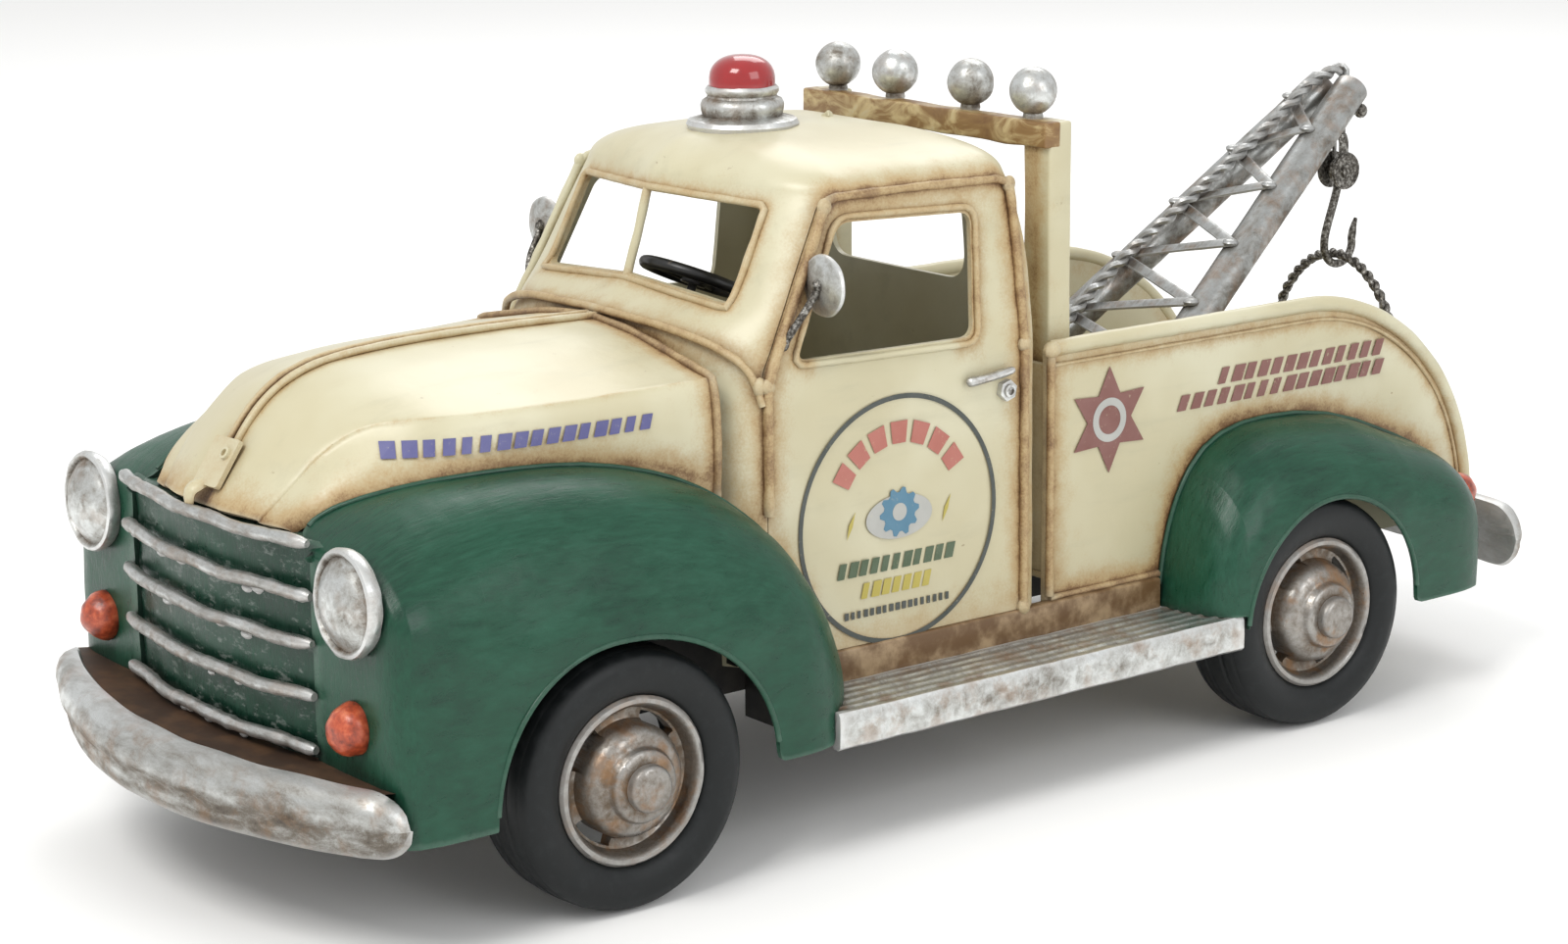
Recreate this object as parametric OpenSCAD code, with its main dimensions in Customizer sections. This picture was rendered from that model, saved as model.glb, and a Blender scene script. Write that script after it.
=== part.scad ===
// Toy tow truck made of folded and soldered sheet metal, wire and turned wheels.
// The front faces -Y, the left (driver's) side is +X, the tyres stand on z = 0.

/* [Wheels] */
// Distance between the two axles
wheelbase = 200; // [198:0.5:201]
// Outer radius of a tyre
tyre_r = 28; // [27:0.25:28.25]
// Width of a tyre
tyre_w = 19.6; // [17.5:0.1:19.8]
// Radius of a wheel rim
rim_r = 18; // [17:0.25:19]
// Radius of an axle rod
axle_r = 2.5; // [2:0.1:3]
// Distance from the middle plane to a tyre's inner face
wheel_x = 49; // [48.8:0.1:49.4]

/* [Body] */
// Thickness of the sheet metal
sheet = 1.8; // [1.5:0.1:2]
// Half width over the fenders
fender_x = 70; // [69.5:0.1:70.5]
// Half width of the cab at the doors
cab_x = 49.5; // [49:0.1:49.8]
// Half width of the cargo bed
bed_x = 48; // [47.6:0.1:48.2]
// Height of the crown of the cab roof
roof_z = 149.5; // [148.5:0.25:149.5]
// Height of the cargo bed's side panels
bed_z = 97.5; // [95:0.5:98]
// Height of the tailgate
tailgate_z = 72; // [65:0.5:74]
// Height of the light bar's top
bar_z = 149.2; // [148:0.2:149.4]

/* [Crane] */
// Outer radius of a boom tube
boom_r = 4.5; // [4:0.1:4.6]
// Number of zigzag braces between the boom tubes
brace_count = 13; // [9:2:15]
// Radius of the hook's wire
hook_r = 1.1; // [1:0.05:1.2]
// Radius of the loop of the tow sling
sling_r = 24; // [22:0.5:25]

/* [Hidden] */

gap = 0.2;
far = 400;
axle_z = tyre_r;
front_y = -2 - wheelbase / 2;
rear_y = -2 + wheelbase / 2;
tip_y = 184;
running_fit = 0.05;

cream = [0.86, 0.84, 0.70];
green = [0.13, 0.38, 0.27];
silver = [0.68, 0.69, 0.68];
dark = [0.20, 0.22, 0.22];

// Hood: its top at the ridge, its front edge and its rear edge
hood_front_y = -162;
hood_rear_y = -63.2;
hood_z = 111;
hood_low_z = 80;

// Cab: its firewall, its rear wall, the slope of its windscreen and the angle of its nose
firewall_y = -63;
cab_rear_y = 24;
cab_low_z = 39.5;
belt_z = 101;
eaves_z = 139;
eaves_x = 45.4;
nose_angle = 8;

// The line that each half of the windscreen turns about
nose_y = -56;

// Cargo bed: its front, its tail, its floor and its underside
bed_front_y = 28;
bed_tail_y = 170;
bed_floor_z = 44;
bed_low_z = 38;

// Light bar
post_y = 31;
post_x = 35.2;
post_w = 9;
post_d = 7;

// Boom: the axis of the left tube runs from its foot to its tip
boom_foot = [30, 47, bed_floor_z + 5.6];
boom_tip = [5.4, 167.5, 139.4];
boom_rise = atan2(boom_tip[2] - boom_foot[2], boom_tip[1] - boom_foot[1]);

// Hook: the hanger's pin, the pulley's axle, the bow of the hook and the crown of the sling,
// all under one another so that they hang at rest
pin_y = 171.9;
pin_z = 135.8;
pin_r = 0.9;
pulley_z = 120;
pulley_r = 4.9;
bow_r = 5.2;
bow_z = 100.4;
sling_wire_r = 1.4;
sling_z = bow_z - bow_r + hook_r + sling_wire_r + 0.3;

// Points of an arc of a circle or an ellipse, and of a cubic curve
function arc(c, r, a0, a1, n = 8) =
    [for (i = [0:n]) let (a = a0 + (a1 - a0) * i / n) [c[0] + r * cos(a), c[1] + r * sin(a)]];
function oval(c, rx, ry, a0, a1, n = 10) =
    [for (i = [0:n]) let (a = a0 + (a1 - a0) * i / n) [c[0] + rx * cos(a), c[1] + ry * sin(a)]];
function curve(p, n = 8) =
    [for (i = [0:n]) let (t = i / n, s = 1 - t)
        s * s * s * p[0] + 3 * s * s * t * p[1] + 3 * s * t * t * p[2] + t * t * t * p[3]];

// An outline in Y and Z, in X and Z, or a ring's outline in radius and X
module along_x(w) rotate([90, 0, 90]) linear_extrude(w, center = true) children();
module along_y(l) rotate([90, 0, 0]) linear_extrude(l, center = true) children();
module both_sides() {
    children();
    mirror([1, 0, 0]) children();
}
module side(left) {
    if (left) children();
    else mirror([1, 0, 0]) children();
}
module block(low, high) translate(low) cube(high - low);
module on_line(a, b) {
    d = b - a;
    translate(a) rotate([0, acos(d[2] / norm(d)), atan2(d[1], d[0])]) children();
}
module rod(a, b, r) on_line(a, b) cylinder(h = norm(b - a), r = r, $fn = 32);

// A bent wire: straight lengths that stop just short of one another at each bend
function turn_at(path, i) = (i == 0 || i == len(path) - 1) ? 0 :
    let (a = path[i] - path[i - 1], b = path[i + 1] - path[i]) acos(a * b / norm(a) / norm(b));
module wire(path, r) {
    for (i = [0:len(path) - 2]) {
        d = (path[i + 1] - path[i]) / norm(path[i + 1] - path[i]);
        rod(path[i] + d * (r * tan(turn_at(path, i) / 2) + 0.05),
            path[i + 1] - d * (r * tan(turn_at(path, i + 1) / 2) + 0.05), r);
    }
}
module rounded(w, h, r) {
    square([w - 2 * r, h], center = true);
    square([w, h - 2 * r], center = true);
    for (x = [-1, 1])
        for (y = [-1, 1])
            translate([x * (w / 2 - r), y * (h / 2 - r)]) circle(r, $fn = 24);
}

// ---------------------------------------------------------------- wheels

module at_axle(y) translate([0, y, axle_z]) rotate([0, 90, 0]) children();
module at_wheel(y, left) {
    translate([(left ? 1 : -1) * wheel_x, y, axle_z])
        rotate([0, left ? 90 : -90, 0]) children();
}

module tyre() {
    shoulder = 3.6;
    seat_r = rim_r + running_fit;
    color(dark) rotate_extrude($fn = 96) polygon(concat(
        [[seat_r, 1], [seat_r + 3, 0]],
        arc([tyre_r - shoulder, shoulder], shoulder, -90, 0, 5),
        arc([tyre_r - shoulder, tyre_w - shoulder], shoulder, 0, 90, 5),
        [[seat_r + 5.2, tyre_w], [seat_r + 4.8, tyre_w - 0.7], [seat_r + 4, tyre_w - 0.7],
         [seat_r + 3.6, tyre_w], [seat_r + 1.5, tyre_w], [seat_r, tyre_w - 1]]));
}

module rim() {
    bore_r = axle_r + running_fit;
    lip = 1.2;
    well = tyre_w - 5;
    slots = 6;
    color(silver) difference() {
        rotate_extrude($fn = 96) polygon(concat(
            [[bore_r, 1], [bore_r + 3, 1], [bore_r + 3, 9], [rim_r - 1.8, 9], [rim_r - 1.8, 1],
             [rim_r, 1]],
            arc([rim_r - lip, tyre_w - 0.6], lip, 0, 180, 6),
            [[rim_r - 3, well], [13, well], [12.4, tyre_w - 1.6], [11.6, tyre_w - 0.4],
             [8.8, tyre_w + 0.4], [8.3, tyre_w + 2.4], [7.4, tyre_w + 3.2], [5.8, tyre_w + 3.4],
             [bore_r, tyre_w + 3.4]]));
        for (i = [0:slots - 1])
            rotate(i * 360 / slots) translate([13.9, 0, well]) cube([1.6, 7, 2.4], center = true);
    }
}

module axles() {
    length = 2 * (wheel_x + tyre_w + 4.6);
    color(silver) for (y = [front_y, rear_y])
        at_axle(y) cylinder(h = length, r = axle_r, center = true, $fn = 48);
}

module axle_caps() {
    inner = wheel_x + tyre_w + 3.7;
    color(silver) both_sides() for (y = [front_y, rear_y])
        translate([inner, y, axle_z]) rotate([0, 90, 0]) difference() {
            rotate_extrude($fn = 48)
                polygon([[0, 0], [5.1, 0], [5.1, 1.3], [4.6, 2], [0, 2]]);
            translate([0, 0, -1]) cylinder(h = 2, r = axle_r + 0.02, $fn = 48);
        }
}

module axle_tubes() {
    tube_r = 5;
    color(dark) for (y = [front_y, rear_y]) at_axle(y) difference() {
        cylinder(h = 2 * wheel_x + 1.4, r = tube_r, center = true, $fn = 48);
        cylinder(h = far, r = axle_r + running_fit, center = true, $fn = 48);
    }
}

// ---------------------------------------------------------------- chassis

module chassis_frame() {
    rail_x = 22;
    rail_w = 6;
    low = 33.6;
    high = 39.3;
    color(dark) {
        difference() {
            union() {
                both_sides() block([rail_x, -150, low], [rail_x + rail_w, 150, high]);
                for (y = [-146, -50, 36, 146])
                    block([-rail_x, y - 4, low], [rail_x, y + 4, high]);
                both_sides() for (y = [front_y, rear_y])
                    block([rail_x, y - 8, axle_z + 1], [rail_x + rail_w, y + 8, low]);
                both_sides() block([rail_x, 150, low], [rail_x + rail_w, 176, high]);
                both_sides() block([rail_x, -158.5, low], [rail_x + rail_w, -150, 36.8]);
            }
            for (y = [front_y, rear_y]) at_axle(y)
                cylinder(h = far, r = 5 + running_fit, center = true, $fn = 48);
        }
    }
}

module cab_floor() color(dark)
    block([-cab_x + sheet + 0.1, firewall_y + sheet + 0.1, 40.2],
          [cab_x - sheet - 0.1, cab_rear_y - sheet - 0.1, 42]);

// ---------------------------------------------------------------- cab

// The cab's section across its width, its length and its nose, all set in by t
module cab_section(t) polygon(concat(
    [[cab_x - t, cab_low_z - 1], [cab_x - t, belt_z]],
    oval([0, eaves_z - 1], eaves_x - t, roof_z - eaves_z + 1 - t, 0, 180, 18),
    [[t - cab_x, belt_z], [t - cab_x, cab_low_z - 1]]));

module cab_length(t) polygon(concat(
    [[cab_rear_y - t, cab_low_z - 1], [cab_rear_y - t, 126]],
    oval([cab_rear_y - 22, 126], 22 - t, roof_z - 126 - t, 0, 90, 8),
    [[-far, roof_z - t], [-far, cab_low_z - 1]]));

module cab_nose(t) polygon(concat(
    [[far, cab_low_z - 1], [firewall_y + t, cab_low_z - 1], [firewall_y + t, 112 - t]],
    [[-54.5 + t, 118.2 - t], [-48 + t, 138.2 - t]],
    oval([-26, 138.2 - t], 22 - t, roof_z - 138.2, 180, 90, 6),
    [[far, roof_z - t]]));

module nose_turn() translate([0, nose_y, 0]) rotate([0, 0, nose_angle])
    translate([0, -nose_y, 0]) children();

// The facet that rounds the cab's corner beside the windscreen
module corner_turn() translate([41, -51, 0]) rotate([0, 0, 42]) translate([0, 54.5, 0]) children();

module cab_body(t) {
    intersection() {
        along_y(far) cab_section(t);
        along_x(far) cab_length(t);
        union() {
            both_sides() intersection() {
                nose_turn() along_x(far) cab_nose(t);
                corner_turn() along_x(far) cab_nose(t);
                block([0, -far, 0], [far, far, far]);
            }
            block([t - far, firewall_y + t, cab_low_z - 1], [far - t, 0, 103 - t]);
        }
    }
}

// Outlines in Y and Z of the door and its window, grown by g
module door_outline(g) polygon([
    [-53 - g, cab_low_z - g], [-53 - g, 103 + g], [-33.5 - g, 137.6 + g],
    [17.6 + g, 137.6 + g], [18.6 + g, belt_z], [18.6 + g, cab_low_z - g]]);

module window_outline(g) polygon(concat(
    arc([-28.8, 130.6], 2.6 + g, 148, 90, 3), arc([2.6, 129.6], 2.6 + g, 90, 0, 4),
    arc([1.8, 106.8], 2.6 + g, 0, -90, 4), [[-45.6 - 1.4 * g, 105.4 - g]]));

module windscreen_hole() {
    both_sides() nose_turn() translate([0, -50, 0]) along_y(50)
        polygon([[1.6, 119.4], [33.5, 118], [32.4, 136], [1.6, 136.6]]);
}

module rear_window_hole() translate([0, cab_rear_y, 123.5]) along_y(12) rounded(50, 23, 7);

// The firewall and the cowl below the windscreen, and the rest of the cab behind them
cowl_y = -54.2;
cowl_z = 117.4;
module cab_shell() color(cream) difference() {
    intersection() {
        cab_body(0);
        block([-far, -far, cab_low_z], [far, far, far]);
    }
    cab_body(sheet);
    block([-far, -far, 0], [far, cowl_y, cowl_z]);
    along_x(far) door_outline(gap);
    windscreen_hole();
    rear_window_hole();
}

module cowl_panel() color(cream) difference() {
    intersection() {
        cab_body(0);
        block([-far, -far, cab_low_z], [far, cowl_y - gap, cowl_z - gap]);
    }
    cab_body(sheet);
    along_x(far) door_outline(gap);
}

module door(left) color(cream) side(left) difference() {
    intersection() {
        cab_body(0);
        block([20, -far, 0], [far, far, far]);
        along_x(far) door_outline(0);
    }
    cab_body(sheet);
    along_x(far) window_outline(0);
}

module windscreen_frame() {
    bar = 0.9;
    low = [[0, -55.8, 119], [34.2, -56, 118.6]];
    top = [[0, -49.8, 137], [33, -49.8, 136.6]];
    color(cream) {
        both_sides() nose_turn()
            wire([low[0] + [1.2, 0, 0], low[1], top[1], top[0] + [2.4, 0, 0]], bar);
        rod(low[0], top[0], bar);
    }
}

// A bead of wire round each door's window and along the door's edges
module door_trim() {
    bead = 1;
    color(cream) both_sides() {
        difference() {
            intersection() {
                translate([49.9, 0, 103]) rotate([0, -6.3, 0]) along_x(2 * bead)
                    translate([0, -103]) difference() {
                        window_outline(1.8);
                        window_outline(0);
                    }
                block([0, -far, 0], [far, far, far]);
            }
            cab_body(0);
        }
        wire([[50.55, -54.6, 72], [50.55, -54.6, 104], [46.6, -34.6, eaves_z],
              [46.6, 19, eaves_z], [50.55, 20, belt_z], [50.55, 20, 40]], bead);
    }
}

module door_handles() color(silver) both_sides() {
    rod([cab_x + 1.4, 2, 94.6], [cab_x + 1.4, 15.5, 96], 0.9);
    rod([cab_x + 0.05, 3, 94.7], [cab_x + 1.4, 3, 94.7], 0.8);
    translate([cab_x + 0.05, 13.4, 91.3]) rotate([0, 90, 0]) difference() {
        cylinder(h = 1.8, r = 2.3, $fn = 6);
        translate([0, 0, 1]) cylinder(h = 2, r = 1.1, $fn = 24);
    }
}

module mirrors() color(silver) both_sides() {
    translate([54.4, -40.4, 121.8]) rotate([90, 0, 0])
        rotate_extrude($fn = 48) polygon([[0, -0.8], [5.8, -0.8], [6.3, -0.3], [6.3, 0.5],
                                          [5.8, 0.9], [0, 1.1]]);
    rod([54.4, -41.6, 121.8], [51, -47.6, 112.2], 0.9);
}

module cowl_trim() color(cream) {
    both_sides() {
        wire([[0.3, -64.2, 112.8], [28, -62, 111.6], [44.6, -59.4, 107.6]], 1);
    }
}

// ---------------------------------------------------------------- hood and nose

module hood_length(t) polygon(concat(
    [[hood_rear_y, hood_low_z], [hood_rear_y, hood_z - 0.6 - t]],
    [[-97, hood_z - t], [-118, hood_z - 0.1 - t]],
    curve([[-120, hood_z - 0.15 - t], [-143 + t, hood_z - 0.4 - t],
           [-151 + t, 101], [hood_front_y + t, 82.5]], 10),
    [[hood_front_y + t, hood_low_z]]));

module hood_section(t) polygon(
    [[46 - t, hood_low_z - 1], [46 - t, 101 - t / 2], [42 - t / 2, 104.2 - t], [35, 107.6 - t],
     [22, 110 - t], [0, hood_z - t], [-22, 110 - t], [-35, 107.6 - t],
     [t / 2 - 42, 104.2 - t], [t - 46, 101 - t / 2], [t - 46, hood_low_z - 1]]);

function hood_plan(t) = curve([[27.4 - t, hood_front_y + 3], [32 - t, -150],
                               [43 - t, -128], [46 - t, hood_rear_y + 0.01]], 10);
module hood_plan_outline(t) polygon(concat(
    [[0, hood_front_y + t]], hood_plan(t),
    [for (i = [10:-1:0]) let (p = hood_plan(t)[i]) [-p[0], p[1]]]));

module hood_solid(t) intersection() {
    along_x(far) hood_length(t);
    along_y(far) hood_section(t);
    linear_extrude(far) hood_plan_outline(t);
}

module hood() color(cream) difference() {
    hood_solid(0);
    hood_solid(sheet);
    block([-46 + sheet, -100, 0], [46 - sheet, hood_rear_y + 1, 96]);
}

module hood_strip() color(cream) for (x = [-1.3, 1.3])
    translate([x, 0, 0]) along_x(1.4) intersection() {
        difference() {
            translate([0, 1.1]) hood_length(0);
            hood_length(0);
        }
        translate([-200, 90]) square([136.5, 40]);
    }

module hood_latch() color(cream) difference() {
    translate([0, -159.8, 91]) rotate([-31, 0, 0]) block([-4.5, 0, -5.5], [4.5, 1.2, 5.5]);
    hood_solid(0);
    along_x(far) translate([0, 1.1]) hood_length(0);
}

grille_r = 140;
grille_y = -163;
module grille_arc(r, low, high) intersection() {
    translate([0, grille_y + grille_r, low]) cylinder(h = high - low, r = r, $fn = 128);
    block([-39.4, -far, low], [39.4, -150, high]);
}
module grille_panel() color(green) difference() {
    grille_arc(grille_r, 38.2, 79.8);
    grille_arc(grille_r - 2, 30, 90);
}

module grille_bars() {
    heights = [82, 71.8, 61.8, 50.8, 40];
    bar = 1.4;
    color(silver) for (z = heights) intersection() {
        translate([0, grille_y + grille_r, z]) rotate_extrude($fn = 128)
            translate([grille_r + bar + 0.1, 0]) circle(bar, $fn = 24);
        block([-39.4, -far, 0], [39.4, -150, 100]);
    }
}

module headlight() translate([54.5, -158.1, 73.4]) rotate([90, 0, 0])
    for (i = [0:$children - 1]) rotate_extrude($fn = 64) children(i);
module headlights() color(silver) both_sides() headlight() {
    polygon([[0, 0], [10.2, 0], [10.8, 0.8], [10.8, 1.8], [9.9, 2.8], [9.3, 2.6], [9.1, 1.4],
             [0, 1.4]]);
    polygon(concat([[0, 1.5]], oval([0, 1.5], 9, 4.6, 0, 90, 8)));
}

module parking_lamps() color([0.72, 0.27, 0.18]) both_sides()
    translate([53.3, -158.1, 47.6]) rotate([90, 0, 0]) rotate_extrude($fn = 48)
        polygon(concat([[0, 0], [5, 0]], oval([0, 0.8], 5.4, 5, 0, 90, 6)));

// ---------------------------------------------------------------- fenders

module front_fender_length(t) {
    polygon(concat(
        [[-158 + t, 25.2], [-158 + t, 78]],
        curve([[-158 + t, 80], [-157 + t, 90 - t], [-140, 92 - t], [-110, 91.4 - t]], 8),
        curve([[-104, 91 - t], [-60 - t, 89 - t], [-47 - t, 66], [-35 - t, 32.3]], 10),
        [[-49.6 - t, 32.3], [-49.8 - t, 25.2]]));
}

module front_fender_section(t) polygon(concat(
    [[-1, 0], [fender_x - t, 0]],
    oval([46, 62], fender_x - 46 - t, 30 - t, 0, 90, 10), [[-1, 92 - t]]));

module front_fender_plan(t) polygon(concat(
    [[39.6, -158 + t]], arc([fender_x - 12, -146], 12 - t, -90, 0, 6),
    curve([[fender_x - t, -66], [fender_x - t, -50 - t], [64, -38 - t], [50, -34 - t]], 6),
    [[20, -34 - t], [20, -158 + t]]));

module front_fender_solid(t) intersection() {
    along_x(far) front_fender_length(t);
    along_y(far) front_fender_section(t);
    linear_extrude(far) front_fender_plan(t);
}

// The side of the body that the fender is soldered to
module body_side(g) {
    linear_extrude(far) hood_plan_outline(-g);
    block([-cab_x - g, hood_rear_y - 0.1, 0], [cab_x + g, 0, far]);
}

module front_fender(left) {
    arch_r = tyre_r + 2.6;
    color(green) side(left) difference() {
        front_fender_solid(0);
        difference() {
            front_fender_solid(sheet);
            block([0, -60 + 8, 0], [far, 0, far]);
        }
        block([20, -156, 0], [fender_x - sheet, -60, 60]);
        body_side(gap);
        block([0, -far, 0], [39.6, -152, far]);
        translate([0, front_y - 1, axle_z]) rotate([0, 90, 0])
            cylinder(h = far, r = arch_r, $fn = 96);
        block([0, front_y - 1 - arch_r, 0], [far, front_y - 1 + arch_r, axle_z - 0]);
    }
}

module rear_fender_length(t) polygon(concat(
    [[62 + t, 32.3]],
    curve([[62 + t, 34], [66 + t, 66 - t], [78 + t, 72.5 - t], [98, 72.5 - t]], 8),
    curve([[98.5, 72.4 - t], [128, 71 - t], [158 - t, 62 - t], [158 - t, 44]], 8),
    [[158 - t, 25.2], [72, 25.2], [72, 32.3]]));

module rear_fender_section(t) polygon(concat(
    [[40, 0], [fender_x - t, 0], [fender_x - t, 48]],
    oval([bed_x, 48], fender_x - bed_x - t, 25 - t, 0, 90, 8), [[40, 73 - t]]));

module rear_fender_plan(t) polygon(concat(
    curve([[bed_x - 2, 61 + t], [60, 61 + t], [fender_x - t, 62 + t], [fender_x - t, 70]], 6),
    arc([fender_x - 10, 148], 10 - t, 0, 90, 6), [[bed_x - 2, 158 - t]]));

module rear_fender_solid(t) intersection() {
    along_x(far) rear_fender_length(t);
    along_y(far) rear_fender_section(t);
    linear_extrude(far) rear_fender_plan(t);
}

module rear_fender(left) {
    arch_r = tyre_r + 1;
    color(green) side(left) difference() {
        rear_fender_solid(0);
        rear_fender_solid(sheet);
        block([-far, -far, 0], [bed_x + gap, far, far]);
        translate([0, rear_y + 2, axle_z]) rotate([0, 90, 0])
            cylinder(h = far, r = arch_r, $fn = 96);
        block([0, rear_y + 2 - arch_r, 0], [far, rear_y + 2 + arch_r, axle_z]);
    }
}

// ---------------------------------------------------------------- bumpers and boards

module bumper_blade(r, low, high, half_w, lean, round_r) intersection() {
    difference() {
        translate([0, 0, low])
            cylinder(h = high - low, r1 = r, r2 = r - lean, $fn = 160);
        translate([0, 0, low - 1])
            cylinder(h = high - low + 2, r1 = r - 2.4 + lean / 14, r2 = r - 2.4 - lean * 15 / 14,
                     $fn = 160);
    }
    translate([0, -r / 2 - 10, (low + high) / 2]) along_y(r)
        rounded(2 * half_w, high - low, round_r);
}

module front_bumper() {
    blade_r = 135;
    back_y = -158.4 + tip_y - blade_r;
    color(silver) translate([0, blade_r - tip_y, 0]) {
        bumper_blade(blade_r, 24, 38, 71, 5.4, 5);
        difference() {
            translate([0, 0, 36.9]) cylinder(h = 1.1, r = blade_r - 7.6, $fn = 160);
            block([-far, back_y, 0], [far, far, far]);
        }
    }
}

module rear_bumper() {
    blade_r = 220;
    color(silver) translate([0, tip_y - blade_r, 0]) mirror([0, 1, 0]) {
        bumper_blade(blade_r, 24, 40, 63, 2, 6);
    }
    color(silver) both_sides() block([22.5, 176.2, 34], [27.5, 178.6, 39.4]);
}

module running_board(left) {
    inner = cab_x + 0.3;
    outer = 68.9;
    from = -49.4;
    to = 69.6;
    color(silver) side(left) {
        block([inner, from, 28.6], [outer, to, 31.4]);
        block([outer - 2, from, 24], [outer, to, 32.1]);
        for (x = [54, 58.4, 62.8])
            translate([x, from, 31.4]) rotate([-90, 0, 0])
                cylinder(h = to - from, r = 0.7, $fn = 24);
    }
}

module sills() color(silver) both_sides()
    block([47.2, -33.6, 32.2], [50.6, 61, 37.8]);

// ---------------------------------------------------------------- cargo bed

module bed_outline(i) polygon(concat(
    [[bed_front_y + i, bed_low_z], [bed_front_y + i, bed_z - i]],
    oval([bed_tail_y - 60, bed_z - 58], 60 - i, 58 - i, 90, 0, 14),
    [[bed_tail_y - i, bed_low_z]]));

module bed_side(left) color(cream) side(left) {
    translate([bed_x - sheet / 2, 0, 0]) along_x(sheet) bed_outline(0);
    translate([bed_x - sheet / 2, 0, 0]) along_x(sheet + 2) difference() {
        translate([0, 1.2]) bed_outline(-0.8);
        bed_outline(2.2);
        translate([0, -10]) square([far, bed_z - 22], center = false);
        translate([bed_front_y - 10, 0]) square([14, bed_z - 4]);
    }
}

module bed_floor() color(cream)
    block([-bed_x + sheet + 0.1, bed_front_y + 0.1, bed_floor_z],
          [bed_x - sheet - 0.1, 166, bed_floor_z + sheet]);

module headboard() color(cream) {
    block([-bed_x + sheet + 0.1, bed_front_y + 0.1, bed_floor_z + sheet + 0.05],
          [bed_x - sheet - 0.1, bed_front_y + 2, bed_z - 4.2]);
}

module tailgate() color(cream) {
    block([-bed_x + sheet + 1.2, 154.5, bed_floor_z + sheet + 0.05],
          [bed_x - sheet - 1.2, 156.3, tailgate_z]);
}

module tail_lamps() color([0.72, 0.25, 0.16]) both_sides()
    translate([54, 158.1, 46]) rotate([-90, 0, 0]) rotate_extrude($fn = 48)
        polygon(concat([[0, 0], [4.6, 0]], oval([0, 1], 5, 5.4, 0, 90, 6)));

// ---------------------------------------------------------------- light bar and beacon

beam_d = 4.4;
module light_bar_posts() color(cream) both_sides() difference() {
    block([post_x, post_y, bed_floor_z + sheet + 0.05], [post_x + post_w, post_y + post_d, bar_z]);
    block([0, 0, bar_z - 5.9], [far, post_y + beam_d - 1.2, far]);
}

module light_bar_beam() color([0.66, 0.56, 0.42])
    block([-post_x - post_w, post_y - 1.3, bar_z - 5.8],
          [post_x + post_w, post_y + beam_d - 1.3, bar_z]);

module roof_lamps() {
    ball_r = 5.4;
    color(silver) both_sides() for (x = [13.7, 35.5])
        translate([x, post_y + 2.6, bar_z + 0.05]) rotate_extrude($fn = 48)
            polygon(concat([[0, 0], [1.8, 0]],
                [for (i = [0:14]) let (a = -70 + 160 * i / 14)
                    [ball_r * cos(a), 0.8 + ball_r * (1 + sin(a))]]));
}

module beacon_base() color(silver) translate([0, -22, 0]) difference() {
    rotate_extrude($fn = 64) polygon(concat(
        [[0, roof_z - 3], [8, roof_z - 3], [12.6, roof_z - 0.4], [12.6, roof_z + 0.6],
         [9, roof_z + 1.2]],
        oval([7.2, roof_z + 4.2], 2.2, 3, -60, 90, 6),
        [[7.2, roof_z + 5.4], [0, roof_z + 5.4]]));
    translate([0, 22, 0]) cab_body(0);
}

module beacon_lens() color([0.55, 0.1, 0.1]) translate([0, -22, roof_z + 5.45])
    rotate_extrude($fn = 48) polygon(concat([[0, 0], [6.9, 0], [7.1, 2.5]],
        oval([0, 2.5], 7.1, 7.55, 0, 90, 8)));

// ---------------------------------------------------------------- steering

wheel_tilt = 24;
wheel_hub = [3.5, -38.5, 116.5];
module at_steering() translate(wheel_hub) rotate([-wheel_tilt, 0, 0]) children();

module steering_column() color(dark) intersection() {
    at_steering() {
        translate([0, 0, -60]) cylinder(h = 57, r = 1.7, $fn = 32);
        translate([0, 0, -3.5]) cylinder(h = 5, r = 1, $fn = 32);
    }
    block([-50, firewall_y + sheet + 0.05, 0], [50, 50, 200]);
}

module steering_wheel() color([0.05, 0.05, 0.05]) at_steering() difference() {
    union() {
        rotate_extrude($fn = 64) translate([11.8, 0]) circle(1.4, $fn = 24);
        translate([0, 0, -1.6]) cylinder(h = 2.6, r = 3, $fn = 32);
        for (a = [0, 120, 240])
            rotate(a) translate([0, 0, -0.4]) rotate([0, 90, 0]) translate([0, 0, 2])
                cylinder(h = 9.2, r = 0.9, $fn = 24);
    }
    translate([0, 0, -5]) cylinder(h = 10, r = 1 + running_fit, $fn = 32);
}

// ---------------------------------------------------------------- boom

module boom_tube(left) {
    wall = 1.1;
    length = norm(boom_tip - boom_foot) + 4;
    color(silver) side(left) on_line(boom_foot, boom_tip) difference() {
        cylinder(h = length, r = boom_r, $fn = 48);
        translate([0, 0, -1]) cylinder(h = length + 2, r = boom_r - wall, $fn = 48);
    }
}

// The wire that the hook's hanger swings on, soldered under the two tubes
module boom_pin() color(silver) translate([0, pin_y, pin_z]) rotate([0, 90, 0])
    cylinder(h = 16, r = pin_r, center = true, $fn = 32);

// Flat strips in a zigzag on top of the two tubes
function on_boom(t, left) =
    let (p = boom_foot + t * (boom_tip - boom_foot)) [left ? p[0] : -p[0], p[1], p[2]];
module boom_braces() {
    lift = boom_r + 0.05;
    color(silver) for (i = [0:brace_count - 1]) {
        t0 = 0.06 + 0.9 * i / brace_count;
        t1 = 0.06 + 0.9 * (i + 1) / brace_count;
        a = on_boom(t0, i % 2 == 0);
        b = on_boom(t1, i % 2 == 1);
        d = b - a;
        translate([0, -sin(boom_rise) * lift, cos(boom_rise) * lift]) translate(a)
            rotate([boom_rise, 0, 0])
                rotate(atan2(norm([0, d[1], d[2]]), d[0]))
                    translate([0, -1.1, (i % 2) * 0.65]) cube([norm(d), 2.2, 0.6]);
    }
}

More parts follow.
